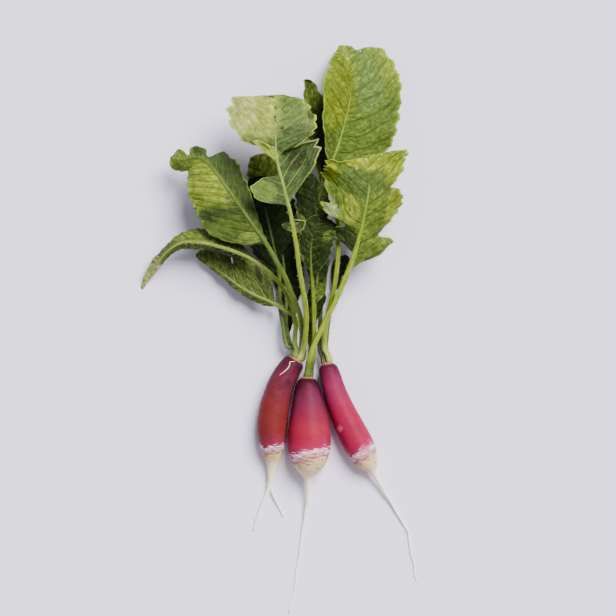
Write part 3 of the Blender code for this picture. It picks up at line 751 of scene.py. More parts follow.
@dataclass
class Look:
    """A leaf's relief and finish. vein_gap is the distance between side veins and pillow, swell and
    pleat are heights, all in mm, and way is -1 for a leaf that shows its back. Then come how strongly
    veins show, where along the leaf its low green, painted shade for deep in the pile, gives way, how
    much it shines, its share of feeding marks, how far its left green tints the margin all round, how
    dark the creases are painted, as painted shade, as a share, and the colour of the thin edge where
    that isn't a lighter shade of the left green."""

    vein_gap: float
    pillow: float
    swell: float
    pleat: float = 0.0
    way: float = 1.0
    vein_share: float = 0.3
    shaded_low_until: float = 0.62
    gloss: float = 0.12
    specks: float = 0.0
    margin: float = 0.3
    crease_shade: float = 0.55
    edge: tuple = ()


@dataclass
class Colours:
    """A leaf's colours, 0 to 255: the blade on both sides of the midrib and low down, its veins, the
    stalk and the midrib's far end, and the stalk's foot. The two sides' greens differ partly as painted
    light: the side that faces the light is painted paler and the side turned away painted darker. The
    low green is painted shade, for deep in the pile, and where the vein colour is dark it is painted
    shade in the vein grooves."""

    left: tuple
    right: tuple
    low: tuple
    vein: tuple
    stalk: tuple
    top: tuple
    foot: tuple


def crown_frame(root):
    """A crown's centre, its outward axis, and the right and upper sides of its plane."""
    line = np.array([p[:3] for p in ROOTS[root].line])
    axis = unit(line[0] - line[1])
    right = unit(np.cross(axis, [0.0, 0.0, 1.0]))
    return line[0], axis, right, np.cross(right, axis)


def leaf_route(leaf):
    """The leaf's whole route, from its foot on the crown."""
    centre, axis, right, up = crown_frame(leaf.root)
    angle = math.radians(leaf.seat)
    out = SEAT_RING[leaf.root]
    foot = centre + GAP * axis + out * (math.cos(angle) * right + math.sin(angle) * up)
    ahead = unit(np.array(leaf.route[0]) - foot)
    return [foot, foot + 4.0 * unit(axis + ahead), *leaf.route]


# %% [markdown]
# The blade's formula is worked out row by row. Each side of a row is an arc: it leaves the midrib at
# the fold angle and bends by the curl. On top of that comes the relief that makes a leaf look alive:
# grooves over the side veins, the pillows between them, small bumps, and a margin that ripples.


# %% Blade shape
VEIN_SLANT = 0.35
VEIN_BEND = 0.006
GROOVE_WIDTH = 0.7
WAVES_PER_PLACE = 0.8


def margin(leaf, outline, places, radius, seed):
    """How far the blade reaches at each place, with rounded teeth and small nicks between them."""
    reach = smooth_along(outline, places)
    reach[(places < outline[0][0]) | (places > outline[-1][0])] = 0.0
    turn = FULL_TURN * leaf.teeth * (places - outline[-1][0])
    notch = 0.5 - 0.5 * np.cos(turn)
    nick = 0.5 - 0.5 * np.cos(2.6 * turn + seed)
    drift = smooth_noise(np.stack([places, 0 * places, 0 * places], axis=1), 0.35, seed)
    scale = 1.0 - leaf.tooth_depth * (0.85 * notch + 0.3 * nick + 0.45 * drift)
    return np.maximum(0.6 * radius, reach * scale)


def relief(look, out, shares, run, radius, blade, sign, seed):
    """The height of one side's surface over its arc, its place among the side veins, and how far up
    a pillow each point is."""
    sheet = np.stack([out, run[:, None] + 0 * out, 0 * out + sign * 40.0], axis=-1)
    stray = 2.6 * smooth_noise(sheet, 11.0, seed + 3) * np.minimum(out / 10.0, 1.0)
    forward_run = run[:, None] - VEIN_SLANT * out - VEIN_BEND * out**2
    phase = (forward_run + stray) / look.vein_gap + 0.25 * (1 + sign)
    off_vein = np.abs(phase - np.rint(phase)) * look.vein_gap
    groove = np.exp(-((off_vein / GROOVE_WIDTH) ** 2))
    puff = 0.65 * pillows(sheet, 4.2, seed) + 0.35 * pillows(sheet, 1.9, seed + 7)
    puff = puff * (1.0 - 0.8 * groove)
    broad = smooth_noise(sheet, 15.0, seed + 11) * (0.25 + 0.75 * shares)
    ruffle = smooth_noise(sheet, 6.0, seed + 17) * shares**3
    inside = np.clip((out - 0.7 * radius[:, None]) / 2.0, 0.0, 1.0) * blade[:, None]
    height = look.way * 1.8 * look.pillow * (puff - 0.5) * (1.0 - 0.5 * shares**6)
    height = height - look.pleat * np.cos(FULL_TURN * phase) * np.minimum(out / 8.0, 1.0)
    return (height + look.swell * (broad + ruffle)) * inside, phase, puff


def blade_points(leaf, places, run, shares, seed, look):
    """The blade's points as rows by columns, and for each its signed distance out, its share of
    the way to the margin, its place among the side veins, where a whole number is on a vein, and how
    far up a pillow it is."""
    line = on_curve(leaf_route(leaf), places)
    tangents, left, up = frames(line)
    ahead = run[-1] - run
    roll = np.radians(along(leaf.roll, places))[:, None]
    left, up = np.cos(roll) * left + np.sin(roll) * up, np.cos(roll) * up - np.sin(roll) * left
    radius = along(leaf.stalk, places)
    halves = []
    for half, sign, outline in ((0, 1, leaf.left), (1, -1, leaf.right)):
        reach = margin(leaf, outline, places, radius, seed + sign)
        blade = np.clip((reach / radius - 1.0) / 2.0, 0.0, 1.0)
        out = reach[:, None] * shares
        start = np.radians(along(leaf.fold[half], places)) * blade
        turn = np.radians(along(leaf.curl[half], places)) * blade + 1e-4
        bend = turn / reach
        angle = start[:, None] + bend[:, None] * out
        flat = (np.sin(angle) - np.sin(start)[:, None]) / bend[:, None]
        rise = (np.cos(start)[:, None] - np.cos(angle)) / bend[:, None]
        wave = leaf.wave_height * np.sin(FULL_TURN * WAVES_PER_PLACE * places + sign)
        rise = rise + (wave * blade)[:, None] * shares**2
        forward = np.sin(np.radians(along(leaf.lean[half], places))) * blade
        forward = np.minimum(forward, 0.8 * ahead / reach)
        side = np.sqrt(1.0 - forward**2)[:, None] * sign * left + forward[:, None] * tangents
        points = line[:, None] + flat[..., None] * side[:, None] + rise[..., None] * up[:, None]
        section = np.cos(angle)[..., None] * side[:, None] + np.sin(angle)[..., None] * up[:, None]
        normal = sign * unit(np.cross(tangents[:, None], section))
        height, phase, puff = relief(look, out, shares, run, radius, blade, sign, seed)
        points = points + height[..., None] * normal
        halves.append((points, sign * out, 0 * out + shares, phase, puff))
    points, *numbers = (np.concatenate([one[:, :0:-1], two], axis=1) for one, two in zip(*halves))
    points[..., 2] = np.maximum(points[..., 2], 0.5 * BLADE_THICK)
    return points, *numbers


# %% [markdown]
# The blade is the grid bent to those points. Insect holes are faces taken out, each a rough oval at a
# place along the midrib and a distance out from it, and the vertices around one remember it, so that
# the material can brown its rim. Scars are bites that don't go through, painted dark brown all over
# as painted shade, as a hole shows the shade under it. Tints are ovals where the green differs, most
# of them painted light and painted shade: paler where a part is lit, darker in hollows and under
# other leaves. Solidify then gives the sheet its thickness.


# %% Blade piece
ROW_STEP = 0.55
SIDE_COLUMNS = 34


def leaf_blade(leaf, seed, look, holes, shaded_bite_scars, tints):
    route = leaf_route(leaf)
    places, run = even_places(route, leaf.blade_start() - 0.1, len(route) - 1, ROW_STEP)
    shares = np.linspace(0.0, 1.0, SIDE_COLUMNS + 1) ** 0.9
    points, out, share, phase, puff = blade_points(leaf, places, run, shares, seed, look)
    piece, column, row = flat_grid(leaf.name + "_blade", 2 * SIDE_COLUMNS + 1, len(places))
    place_vertices(piece, points[row, column])
    write_uv(piece, out[row, column] / 10.0, run[row] / 10.0)
    write_numbers(
        piece, rim=share[row, column], vein_phase=phase[row, column], puff=puff[row, column],
        height_along=run[row] / run[-1],
    )

    def distance(place, away, half_along, half_out):
        middle = np.interp(place, places, run)
        return np.hypot((run[row] - middle) / half_along, (out[row, column] - away) / half_out)

    # Scars are painted dark all over as painted shade, as a hole shows the shade under it, but are not
    # cut.
    bitten = np.zeros(len(row))
    for scar in shaded_bite_scars:
        bitten = np.maximum(bitten, np.clip(2.6 - 1.6 * distance(*scar), 0.0, 1.0))
    for index, tint in enumerate(tints):
        write_numbers(piece, **{f"tint_{index}": np.clip(2.0 - 1.6 * distance(*tint[:4]), 0.0, 1.0)})
    for hole in holes:
        far = distance(*hole)
        bitten = np.maximum(bitten, np.clip(1.9 - far, 0.0, 1.0))
        far += 0.25 * smooth_noise(points[row, column], 1.2, seed + 2)
        keep = far >= 1.0
        cut_hole(piece, ~keep)
        row, column, bitten = row[keep], column[keep], bitten[keep]
    write_numbers(piece, bitten=bitten)
    bpy.ops.object.shade_smooth()
    wall = piece.modifiers.new("thickness", "SOLIDIFY")
    wall.thickness = BLADE_THICK * MM
    wall.offset = 0.0
    wall.use_quality_normals = True
    wall.material_offset = 1
    bpy.ops.object.modifier_apply(modifier=wall.name)
    return piece


def cut_hole(piece, inside):
    """Takes the vertices marked inside out of the sheet."""
    bpy.ops.object.mode_set(mode="EDIT")
    bpy.ops.mesh.select_mode(type="VERT")
    bpy.ops.mesh.select_all(action="DESELECT")
    bpy.ops.object.mode_set(mode="OBJECT")
    piece.data.vertices.foreach_set("select", inside)
    bpy.ops.object.mode_set(mode="EDIT")
    bpy.ops.mesh.delete(type="VERT")
    bpy.ops.object.mode_set(mode="OBJECT")


# %% [markdown]
# The stalk and midrib are one tapering rod, flatter on top, with the shallow groove that runs down a
# radish stalk. It starts inside the crown, where the real stalks grow together in a pale collar.
# Radish stalks are bristly. The bristles stand out from the stalk and lean a little to its tip.


# %% Stalk and bristles
STALK_SIDES = 18
STALK_ROOTED = 3.2
BRISTLES = 150


def leaf_stalk(leaf):
    route = leaf_route(leaf)
    last = len(route) - 1
    places, run = even_places(route, 0, last, 1.0)
    centres = on_curve(route, places)
    slim = np.clip((places - leaf.blade_start()) / (last - leaf.blade_start()), 0.0, 1.0)
    flare = 1.0 + 0.3 * np.exp(-run / 4.0)
    radius = along(leaf.stalk, places) * 0.92 * flare * (1.0 - 0.5 * slim)
    _, left, up = frames(centres)
    crown, axis, _, _ = crown_frame(leaf.root)
    centres = np.vstack([0.5 * (crown + centres[0]) - STALK_ROOTED * axis, centres])
    radius = np.concatenate([radius[:1], radius])
    left, up = np.vstack([left[:1], left]), np.vstack([up[:1], up])
    run = np.concatenate([[-STALK_ROOTED], run])
    piece, column, row = flat_grid(leaf.name + "_stalk", STALK_SIDES + 1, len(run))
    angle = FULL_TURN * column / STALK_SIDES
    petiole = np.clip((len(route) * 0.55 - np.interp(run, run[1:], places)) / 2.0, 0.0, 1.0)[row]
    tall = np.where(np.sin(angle) > 0, 0.55 + 0.3 * petiole, 1.0)
    groove = 1.0 - 0.22 * np.exp(-(((angle - math.pi / 2) / 0.35) ** 2))
    size = radius[row] * groove * (1.0 + 0.05 * np.cos(6 * angle))
    sideways, upward = size * np.cos(angle), size * tall * np.sin(angle)
    points = centres[row] + sideways[:, None] * left[row] + upward[:, None] * up[row]
    points[:, 2] = np.maximum(points[:, 2], 0.0)
    place_vertices(piece, points)
    write_uv(piece, column / STALK_SIDES, run[row] / 10.0)
    write_numbers(piece, run=run[row], height_along=run[row] / run[-1])
    close_tube(piece)
    return piece


def bristles(leaf, seed, colour):
    route = leaf_route(leaf)
    chance = np.random.default_rng(seed + 31)
    last = 0.5 * (leaf.blade_start() + len(route) - 1)
    places = np.sort(chance.uniform(0.6, last, BRISTLES))
    centres = on_curve(route, places)
    tangents, left, up = frames(centres)
    angle = chance.uniform(-0.2, math.pi + 0.2, BRISTLES)[:, None]
    outward = np.cos(angle) * left + 0.8 * np.sin(angle) * up
    radius = (0.8 * along(leaf.stalk, places))[:, None]
    length = chance.uniform(0.6, 1.5, BRISTLES)[:, None]
    feet = centres + 0.7 * radius * outward
    bends = centres + (radius + 0.5 * length) * outward + 0.15 * length * tangents
    tips = centres + (radius + length) * outward + 0.55 * length * tangents
    return hairs(leaf.name + "_bristles", feet, bends, tips, 0.13, colour)


# %% [markdown]
# The blade's material reads each point's place among the side veins, which gives the main veins, and
# the UV map in centimetres: the net between the veins is the edges of two sizes of Voronoi cell. Both
# tint the colour and raise the bump. Patches of noise move the green between two shades, the creases
# between pillows are darkened as painted shade, the rim is paler, and bitten rims are brown, with
# scars brown all over as painted shade.


# %% Leaf materials
def vein_web(paint, uv, look, phase, rim):
    """1 on the veins, with the side veins strongest."""
    off_vein = paint.times(paint.math("PINGPONG", phase, 0.5), look.vein_gap)
    width = paint.step(rim, 0.0, 1.0, 0.42, 0.16)
    main = paint.step(paint.math("DIVIDE", off_vein, width), 0.5, 1.6, 1.0, 0.0)
    wobble = paint.node("TexNoise", {"Vector": uv, "Scale": 3.0, "Detail": 2.0})["Color"]
    bent = paint.node("VectorMath", {0: uv, 1: wobble}, operation="ADD")[0]
    nets = []
    for scale, low, high, share in ((3.1, 0.02, 0.085, 0.55), (8.5, 0.03, 0.14, 0.3)):
        cells = paint.cells(bent, scale, feature="DISTANCE_TO_EDGE", voronoi_dimensions="2D")
        nets.append(paint.times(paint.step(cells["Distance"], low, high, 1.0, 0.0), share))
    return paint.math("MAXIMUM", main, paint.plus(*nets))


def blade_material(name, greens, vein, look, vein_share, tints):
    """Leaf blade. greens are those on either side of the midrib, whose difference is partly painted
    light, and low down, painted shade.
    """
    left, right, low = greens
    paint = Paint(name)
    uv, place = paint.uv(), paint.place()
    rim, phase = paint.number("rim"), paint.number("vein_phase")
    across, along_leaf = paint.across(uv), paint.number("height_along")
    veins = vein_web(paint, uv, look, phase, rim)

    # The greens of the two halves differ partly as painted light: the half facing the light is painted
    # paler, the half turned away darker.
    green = paint.mix(paint.step(across, -0.5, 0.5), right, left)
    # Low down the leaf takes its low green, painted darker as painted shade deep in the pile.
    raised = paint.step(along_leaf, look.shaded_low_until - 0.06, look.shaded_low_until + 0.06)
    green = paint.mix(raised, low, green)
    patches = paint.noise(place, 75.0, detail=3.0)
    fine = paint.noise(place, 420.0, detail=3.0)
    # Tints, most of them painted light and painted shade: paler where a part is lit, darker in hollows
    # and under other leaves.
    for index, tint in enumerate(tints):
        ragged = paint.plus(paint.number(f"tint_{index}"), patches)
        green = paint.mix(paint.step(ragged, 0.75, 1.25), green, srgb(*tint[4]))
    marginal = paint.step(paint.plus(rim, patches), 1.1, 1.4, 0.0, look.margin)
    green = paint.mix(paint.times(marginal, raised), green, left)
    grain = {"X": paint.times(phase, look.vein_gap), "Y": paint.times(across, 2.2)}
    grain = paint.node("CombineXYZ", grain)["Vector"]
    streaks = paint.noise(grain, 0.9, detail=4.0, roughness=0.6)
    value = paint.step(patches, 0.36, 0.66, 1.08, 0.8)
    value = paint.times(value, paint.step(streaks, 0.36, 0.62, 0.7, 1.12))
    value = paint.times(value, paint.step(fine, 0.3, 0.7, 0.82, 1.2))
    # The creases between the pillows are darkened as painted shade.
    value = paint.times(value, paint.step(paint.number("puff"), 0.25, 0.85, look.crease_shade, 1.05))
    green = paint.node("VectorMath", {0: green, "Scale": value}, operation="SCALE")["Vector"]
    # Where a leaf's vein colour is dark, it is painted shade in the sunken vein grooves; where it is
    # pale, it is the veins' own colour.
    green = paint.mix(paint.times(veins, vein_share), green, vein)
    edge = srgb(*look.edge) if look.edge else shaded(left, 1.35)
    green = paint.mix(paint.step(rim, 0.93, 0.99, 0.0, 0.6), green, edge)
    if look.specks:
        cells = paint.cells(uv, 3.2, voronoi_dimensions="2D")
        here = paint.step(along_leaf, 0.72, 0.95, 1.0 - 0.2 * look.specks, 1.0 - look.specks)
        chosen = paint.math("GREATER_THAN", cells["Color"], here)
        dot = paint.times(paint.step(cells["Distance"], 0.08, 0.2, 1.0, 0.0), chosen)
        green = paint.mix(dot, green, srgb(228, 234, 128))
    # Brown on the rims of holes is their own colour; brown all over a scar is painted shade.
    bite_brown_and_shade = paint.step(paint.number("bitten"), 0.35, 0.85, 0.0, 0.75)
    height = paint.plus(paint.times(veins, -0.6), paint.times(fine, 0.5))
    return paint.finish(
        Base_Color=paint.mix(bite_brown_and_shade, green, srgb(46, 38, 18)),
        Roughness=paint.step(fine, 0.3, 0.7, 0.42, 0.58),
        Specular_IOR_Level=look.gloss,
        Normal=paint.bump(paint.plus(height, streaks), 0.8, 0.0008),
    )


def stalk_material(name, foot, middle, top):
    """Stalk and midrib, from the pale foot in the crown to the leaf's tip."""
    paint = Paint(name)
    colour = paint.mix(paint.step(paint.number("run"), 5.0, 14.0), foot, middle)
    colour = paint.mix(paint.step(paint.number("height_along"), 0.35, 0.85), colour, top)
    fibres = paint.noise(paint.stretched(paint.uv(), 5.0, 0.6), 2.0, detail=3.0)
    colour = paint.mix(paint.step(fibres, 0.46, 0.66, 0.0, 0.8), colour, shaded(middle, 0.45))
    return paint.finish(
        Base_Color=paint.mix(paint.step(fibres, 0.28, 0.42, 0.45, 0.0), colour, top),
        Roughness=0.42,
        Specular_IOR_Level=0.2,
        Normal=paint.bump(fibres, 0.5, 0.0005),
    )


# %% Leaf from its table
BACK_GREEN = srgb(120, 138, 78)
BACK_VEINS = 0.6


def greyed(colour):
    """A green as the leaf's dull, paler back has it."""
    return tuple(0.65 * a + 0.35 * b for a, b in zip(colour, BACK_GREEN))


def dress_leaf(leaf, seed, colours, look, holes=(), shaded_bite_scars=(), tints=()):
    """The finished leaf in place of its node: blade and stalk as one piece."""
    name = leaf.name
    greens = [srgb(*green) for green in (colours.left, colours.right, colours.low)]
    backs = [greyed(green) for green in greens]
    vein, top = srgb(*colours.vein), srgb(*colours.top)
    sheet = leaf_blade(leaf, seed, look, holes, shaded_bite_scars, tints)
    for side, shades, veins in (("_face", greens, look.vein_share), ("_back", backs, BACK_VEINS)):
        paint = blade_material(name + side, shades, vein, look, veins, tints)
        sheet.data.materials.append(paint)
    rod = leaf_stalk(leaf)
    paint = stalk_material(name + "_stalk", srgb(*colours.foot), srgb(*colours.stalk), top)
    rod.data.materials.append(paint)
    piece = join_pieces([sheet, rod, bristles(leaf, seed, top)], name + "_grown")
    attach(piece, "root")
    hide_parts(name)
    print(piece.name, len(piece.data.polygons), "faces")


# %% [markdown]
# The leaf on top of the pile stands nearly upright between the others and shows its pale back.
# Side lobes sit low on its stalk, the right one cupped. Insects have eaten through the end blade; its
# holes are not cut but painted as dark scars, as painted shade seen through them.

# %% Front leaf
FRONT = Leaf(
    "leaf_front", "left", 62.0,
    route=[
        (-2, -19, 20), (-1, -8, 26), (-2, 5, 32), (-5, 22, 37), (-7, 37, 41), (-10, 54, 44),
        (-14, 70, 45), (-18, 86, 45), (-19, 99, 44), (-18, 112, 42), (-17, 126, 38),
    ],
    stalk=[(0, 1.6), (4, 1.6), (8, 1.2), (10, 0.9), (12, 0.5)],
    left=[
        (6.5, 1), (6.6, 6), (6.75, 7), (6.85, 1), (7.4, 1), (7.5, 11), (7.62, 18), (7.8, 21),
        (7.95, 21), (8.15, 18), (8.35, 11), (8.5, 1), (9.0, 1), (9.1, 12), (9.25, 18), (9.45, 14),
        (9.6, 1), (9.7, 1), (9.8, 12), (10.1, 22.5), (10.5, 30.5), (10.9, 31.5), (11.3, 30),
        (11.7, 21), (12, 2),
    ],
    right=[
        (6.4, 1), (6.55, 7), (6.75, 8), (6.9, 1), (7.5, 1), (7.65, 9), (7.85, 18), (8.1, 26),
        (8.4, 31), (8.7, 31), (9.0, 28), (9.15, 21), (9.25, 13), (9.32, 12), (9.45, 14), (9.75, 20),
        (10.1, 24), (10.5, 25), (10.9, 23), (11.4, 18), (11.75, 12), (12, 2),
    ],
    lean=(
        [
            (6.9, 0), (7.3, 12), (8.6, 22), (9, 38), (9.6, 38), (9.7, -4), (10.1, 0), (11, 15),
            (12, 32),
        ],
        [(6.9, 0), (7.5, 24), (9.2, 22), (9.4, 12), (10.3, 10), (11, 18), (12, 30)],
    ),
    fold=(
        [(6.9, -5), (7.3, 8), (9, 22), (9.6, 20), (9.7, 0), (10.2, 2), (12, 2)],
        [(7.5, -18), (9.2, -34), (9.4, 8), (12, 4)],
    ),
    curl=(
        [(6.9, -20), (8.5, -25), (9, 10), (10, -12), (12, -30)],
        [(7.5, 30), (9.2, 44), (9.4, -8), (12, -25)],
    ),
)
dress_leaf(
    FRONT, 11,
    Colours(
        (162, 178, 72), (92, 112, 54), (62, 82, 42), (156, 172, 86), (124, 140, 26), (134, 150, 62),
        (158, 170, 84),
    ),
    Look(7.0, pillow=0.5, swell=1.2, way=-1.0, vein_share=0.28, shaded_low_until=0.7, crease_shade=0.75),
    shaded_bite_scars=[
        (10.5, -3.5, 0.9, 1.0), (11.85, 4.6, 0.8, 1.6), (11.4, 1.9, 1.0, 0.8),
        (10.95, 1.6, 1.7, 0.6), (9.35, 8.5, 0.8, 2.8), (10.9, -20.5, 2.4, 1.8),
    ],
    # The pale oval on the end blade's left is painted light, and the dark ovals on the right paint the
    # shade inside the cupped lobe.
    tints=[
        (11.2, 24, 16, 12, (184, 190, 104)), (9.3, 8, 5, 12, (134, 152, 44)),
        (10.2, -14, 6, 12, (70, 88, 48)), (8.6, -13, 6, 9, (34, 46, 20)),
        (9.3, -12, 4, 10, (38, 52, 22)), (7.9, 13, 7, 9, (104, 128, 50)),
    ],
)

# %% [markdown]
# The largest leaf reaches furthest from the roots. Its end blade is cupped, its left strip folds up and
# catches the light, and small pale feeding marks dot it.

# %% Tall leaf
TALL = Leaf(
    "leaf_tall", "right", 45.0,
    route=[
        (10, -24, 12), (10, -15, 13.5), (12, -4, 15), (15, 9, 16.5), (17, 22, 18), (18, 34, 19),
        (18, 49, 20), (15, 67, 21), (14, 84, 22), (18, 97, 23), (22, 111, 23), (25, 126, 21),
        (25, 141, 16), (21, 157, 8),
    ],
    stalk=[(0, 1.7), (6, 1.5), (10, 1.1), (13, 0.8), (15, 0.5)],
    left=[
        (10.1, 1), (10.5, 8), (11, 12), (12, 20), (12.5, 22), (13, 20.5), (13.5, 16.5), (14, 14),
        (14.5, 9), (15, 1.5),
    ],
    right=[
        (10.1, 1), (10.4, 12), (10.8, 21), (11.2, 29), (12, 33), (13, 32), (13.6, 31), (14, 29),
        (14.4, 19), (14.65, 8), (14.8, 8), (15, 1.5),
    ],
    lean=(
        [(10, 10), (11, 20), (12, 30), (15, 35)],
        [(10, -14), (11.2, -2), (12, 7), (13, 16), (15, 26)],
    ),
    fold=([(10, 20), (13, 20), (15, 8)], [(10, 5), (15, 5)]),
    curl=([(10, 5), (15, -10)], [(10, -25), (13, -25), (15, -45)]),
    teeth=2.6, tooth_depth=0.05,
)
dress_leaf(
    TALL, 23,
    Colours(
        (134, 152, 32), (112, 136, 52), (94, 116, 38), (62, 80, 28), (120, 138, 26), (128, 146, 54),
        (166, 172, 80),
    ),
    Look(
        9.0, pillow=0.55, swell=2.0, vein_share=0.5, shaded_low_until=0.6, specks=0.4, margin=0.75,
        crease_shade=0.72,
    ),
    # The wide yellow oval on the left strip is painted light.
    tints=[
        (14.6, 3, 9, 6, (142, 158, 52)), (11.2, 9, 10, 6, (84, 102, 32)),
        (13.0, 10, 28, 15, (114, 130, 22)), (13.2, -12, 14, 10, (104, 128, 56)),
    ],
)

# %% [markdown]
# A broad leaf leans out to the right on a bright, nearly yellow stalk. Its upper left part curls
# over and is lit through, and a pale lobe turns its back to the viewer.

# %% Right leaf
RIGHT = Leaf(
    "leaf_right", "middle", 90.0,
    route=[
        (1, -30, 15.5), (4, -21, 17.5), (10, -8.5, 20.5), (18.3, 8.5, 24), (25, 25, 27.5),
        (29, 37, 30.5), (32, 49, 33), (34.5, 60, 34.5), (36, 70, 35), (36, 80, 34), (34, 90, 31),
    ],
    stalk=[(0, 1.7), (6, 1.7), (8, 1.2), (10, 0.9), (12, 0.5)],
    left=[
        (6.6, 1), (6.75, 9), (6.95, 16), (7.25, 18), (7.45, 16), (7.6, 12), (7.72, 12), (7.82, 18),
        (7.95, 26), (8.1, 29), (8.25, 29), (8.42, 24), (8.6, 28), (8.8, 33), (9.0, 34.5),
        (9.25, 34), (9.5, 32), (9.75, 31), (10.1, 31), (10.6, 30), (11, 20), (11.5, 10), (12, 1),
    ],
    right=[
        (5.95, 1), (6.15, 13), (6.4, 21), (6.7, 26), (7.0, 17), (7.3, 14), (7.7, 18), (8.2, 22.5),
        (8.7, 24), (9.2, 23), (9.55, 19), (9.75, 15), (10, 19), (10.5, 25), (11, 26), (11.4, 28),
        (11.75, 21), (12, 1),
    ],
    lean=(
        [(6.6, 4), (7.6, 8), (8.4, 8), (8.7, 24), (12, 24)],
        [(6, 26), (6.8, 34), (7.5, 24), (12, 26)],
    ),
    fold=(
        [(7, -14), (7.65, -14), (7.8, 2), (8.6, 0), (9, -8), (12, 12)],
        [(6, -8), (9, 0), (12, 4)],
    ),
    curl=([(7, -20), (8.6, -20), (10, 20), (12, 50)], [(6, -35), (9, -20), (12, -15)]),
    teeth=2.4,
)
dress_leaf(
    RIGHT, 37,
    Colours(
        (142, 160, 38), (112, 132, 38), (102, 122, 40), (66, 84, 26), (138, 154, 36),
        (120, 138, 40), (76, 90, 32),
    ),
    Look(
        8.0, pillow=0.5, swell=2.6, vein_share=0.35, shaded_low_until=0.86, specks=0.3, margin=0.75,
        crease_shade=0.72,
    ),
    shaded_bite_scars=[(8.35, 16.5, 0.5, 1.2)],
    # The pale band across the top is painted light where the curled part is lit through, and the dark
    # oval low on the left is painted shade between the lobes.
    tints=[
        (11.6, 0, 7, 40, (152, 166, 38)), (8.1, 22, 6, 8, (148, 164, 96)),
        (9.9, 29, 9, 9, (146, 160, 34)), (11.1, -20, 14, 12, (132, 146, 34)),
        (7.1, 10, 7, 14, (52, 64, 26)), (8.4, 9, 8, 6, (142, 158, 44)),
        (8.6, -19, 12, 6, (146, 160, 44)), (10.2, 5, 10, 14, (94, 114, 48)),
    ],
)

# %% [markdown]
# This leaf is folded along its midrib: one half lies up and is painted pale as painted light, and the
# other hangs in shade and is painted dark as painted shade.

# %% Folded leaf
FOLDED = Leaf(
    "leaf_folded", "left", 5.0,
    route=[
        (-3, -20, 15.5), (-4, -7, 21.5), (-9, 7, 27), (-14, 19, 31), (-20, 30, 33.5), (-26, 40, 35),
        (-34, 51, 37), (-43, 64, 38), (-51, 75, 37), (-60, 86, 33), (-67, 89, 29), (-74, 88, 25),
        (-82, 89, 21),
    ],
    stalk=[(0, 1.6), (5, 1.6), (9, 1.1), (12, 0.8), (14, 0.5)],
    left=[
        (6.85, 1), (7.0, 11), (7.25, 16), (7.6, 25.5), (8, 29.5), (8.5, 28.5), (9, 27), (9.5, 26),
        (10, 24), (10.5, 20), (11, 15), (11.6, 11), (12.2, 10), (13, 9.5), (13.6, 7), (14, 1),
    ],
    right=[
        (6.9, 1), (7.4, 9), (8, 15), (9, 21), (9.8, 24), (10.3, 24), (10.75, 20), (11, 11),
        (11.15, 4), (11.25, 4), (11.45, 9.5), (11.9, 9.5), (12.3, 7.5), (12.5, 3.5), (12.6, 3.5),
        (12.85, 7.5), (13.3, 8), (13.7, 6), (14, 1),
    ],
    lean=(
        [(7, 14), (7.6, 23), (9, 26), (10, 26), (10.8, 27), (11.6, 38), (12.4, 46), (14, 35)],
        [(7, 25), (11, 25), (14, 20)],
    ),
    fold=([(7, -12), (14, -15)], [(7, -62), (9, -56), (11, -45), (12, -30), (14, -20)]),
    curl=([(7, -15), (14, -10)], [(7, 10), (14, -10)]),
    teeth=2.4, tooth_depth=0.05,
)
dress_leaf(
    FOLDED, 41,
    Colours(
        (132, 154, 42), (50, 68, 24), (60, 78, 30), (140, 158, 70), (82, 98, 28), (76, 94, 28),
        (100, 112, 50),
    ),
    Look(
        6.0, pillow=0.3, swell=1.8, pleat=0.1, vein_share=0.22, shaded_low_until=0.36, margin=0.0,
        crease_shade=0.72,
    ),
    holes=[(9.1, 4, 0.7, 0.7)],
    shaded_bite_scars=[(8.05, 2.6, 0.8, 1.0), (8.9, 27, 1.0, 1.5)],
    # The pale oval on the flap is painted light, and the darker one near the tip is painted shade under
    # the flap's edge.
    tints=[
        (10.2, 9, 16, 10, (152, 172, 52)), (7.8, 14, 10, 16, (84, 104, 34)),
        (7.3, 6, 4, 8, (122, 142, 56)), (13.0, 0, 8, 16, (108, 128, 42)),
    ],
)

# %% [markdown]
# A narrow leaf arches out to the far left, and its tip hangs down until it touches the surface.

# %% Drooping leaf
DROOPING = Leaf(
    "leaf_drooping", "left", 120.0,
    route=[
        (-8, -21, 14), (-7.5, -10, 15.5), (-10, 2, 18), (-15, 12, 21), (-24, 22, 24), (-34, 29, 26),
        (-45, 34, 27.5), (-55, 37, 28), (-65, 39, 27), (-74, 39, 25), (-82, 35, 20.5),
        (-89, 28, 14), (-95, 20, 6.5), (-99.5, 12, 0.6),
    ],
    stalk=[(0, 1.5), (5, 1.4), (10, 1.1), (15, 0.5)],
    left=[(7.0, 1), (8, 7), (10, 8), (12, 5), (14, 3.5), (15, 0.8)],
    right=[(6.9, 1), (7.6, 9), (8.6, 13), (9.8, 13), (11, 9), (12, 6), (13.5, 4.5), (15, 0.8)],
    lean=(30, 20),
    fold=(
        [(7, -60), (11, -55), (13, -38), (15, -25)],
        [(7, -35), (11, -42), (12, -48), (13, -38), (15, -25)],
    ),
    curl=([(7, 10), (12, 0), (15, -20)], [(7, -10), (15, 0)]),
    teeth=2.0,
)
# Its blade is painted dark as painted shade, and the tint at its hanging tip is painted light.
dress_leaf(
    DROOPING, 53,
    Colours(
        (44, 58, 22), (52, 66, 26), (44, 58, 24), (130, 144, 62), (96, 112, 30), (150, 162, 60),
        (110, 124, 60),
    ),
    Look(7.0, pillow=0.5, swell=0.8, shaded_low_until=0.68),
    tints=[(12.6, 0, 36, 20, (104, 120, 40)), (14.4, 0, 18, 20, (188, 196, 112))],
)

# %% [markdown]
# Under the drooping leaf a dark one lies low, its strong rib at the lower edge. It has been eaten.

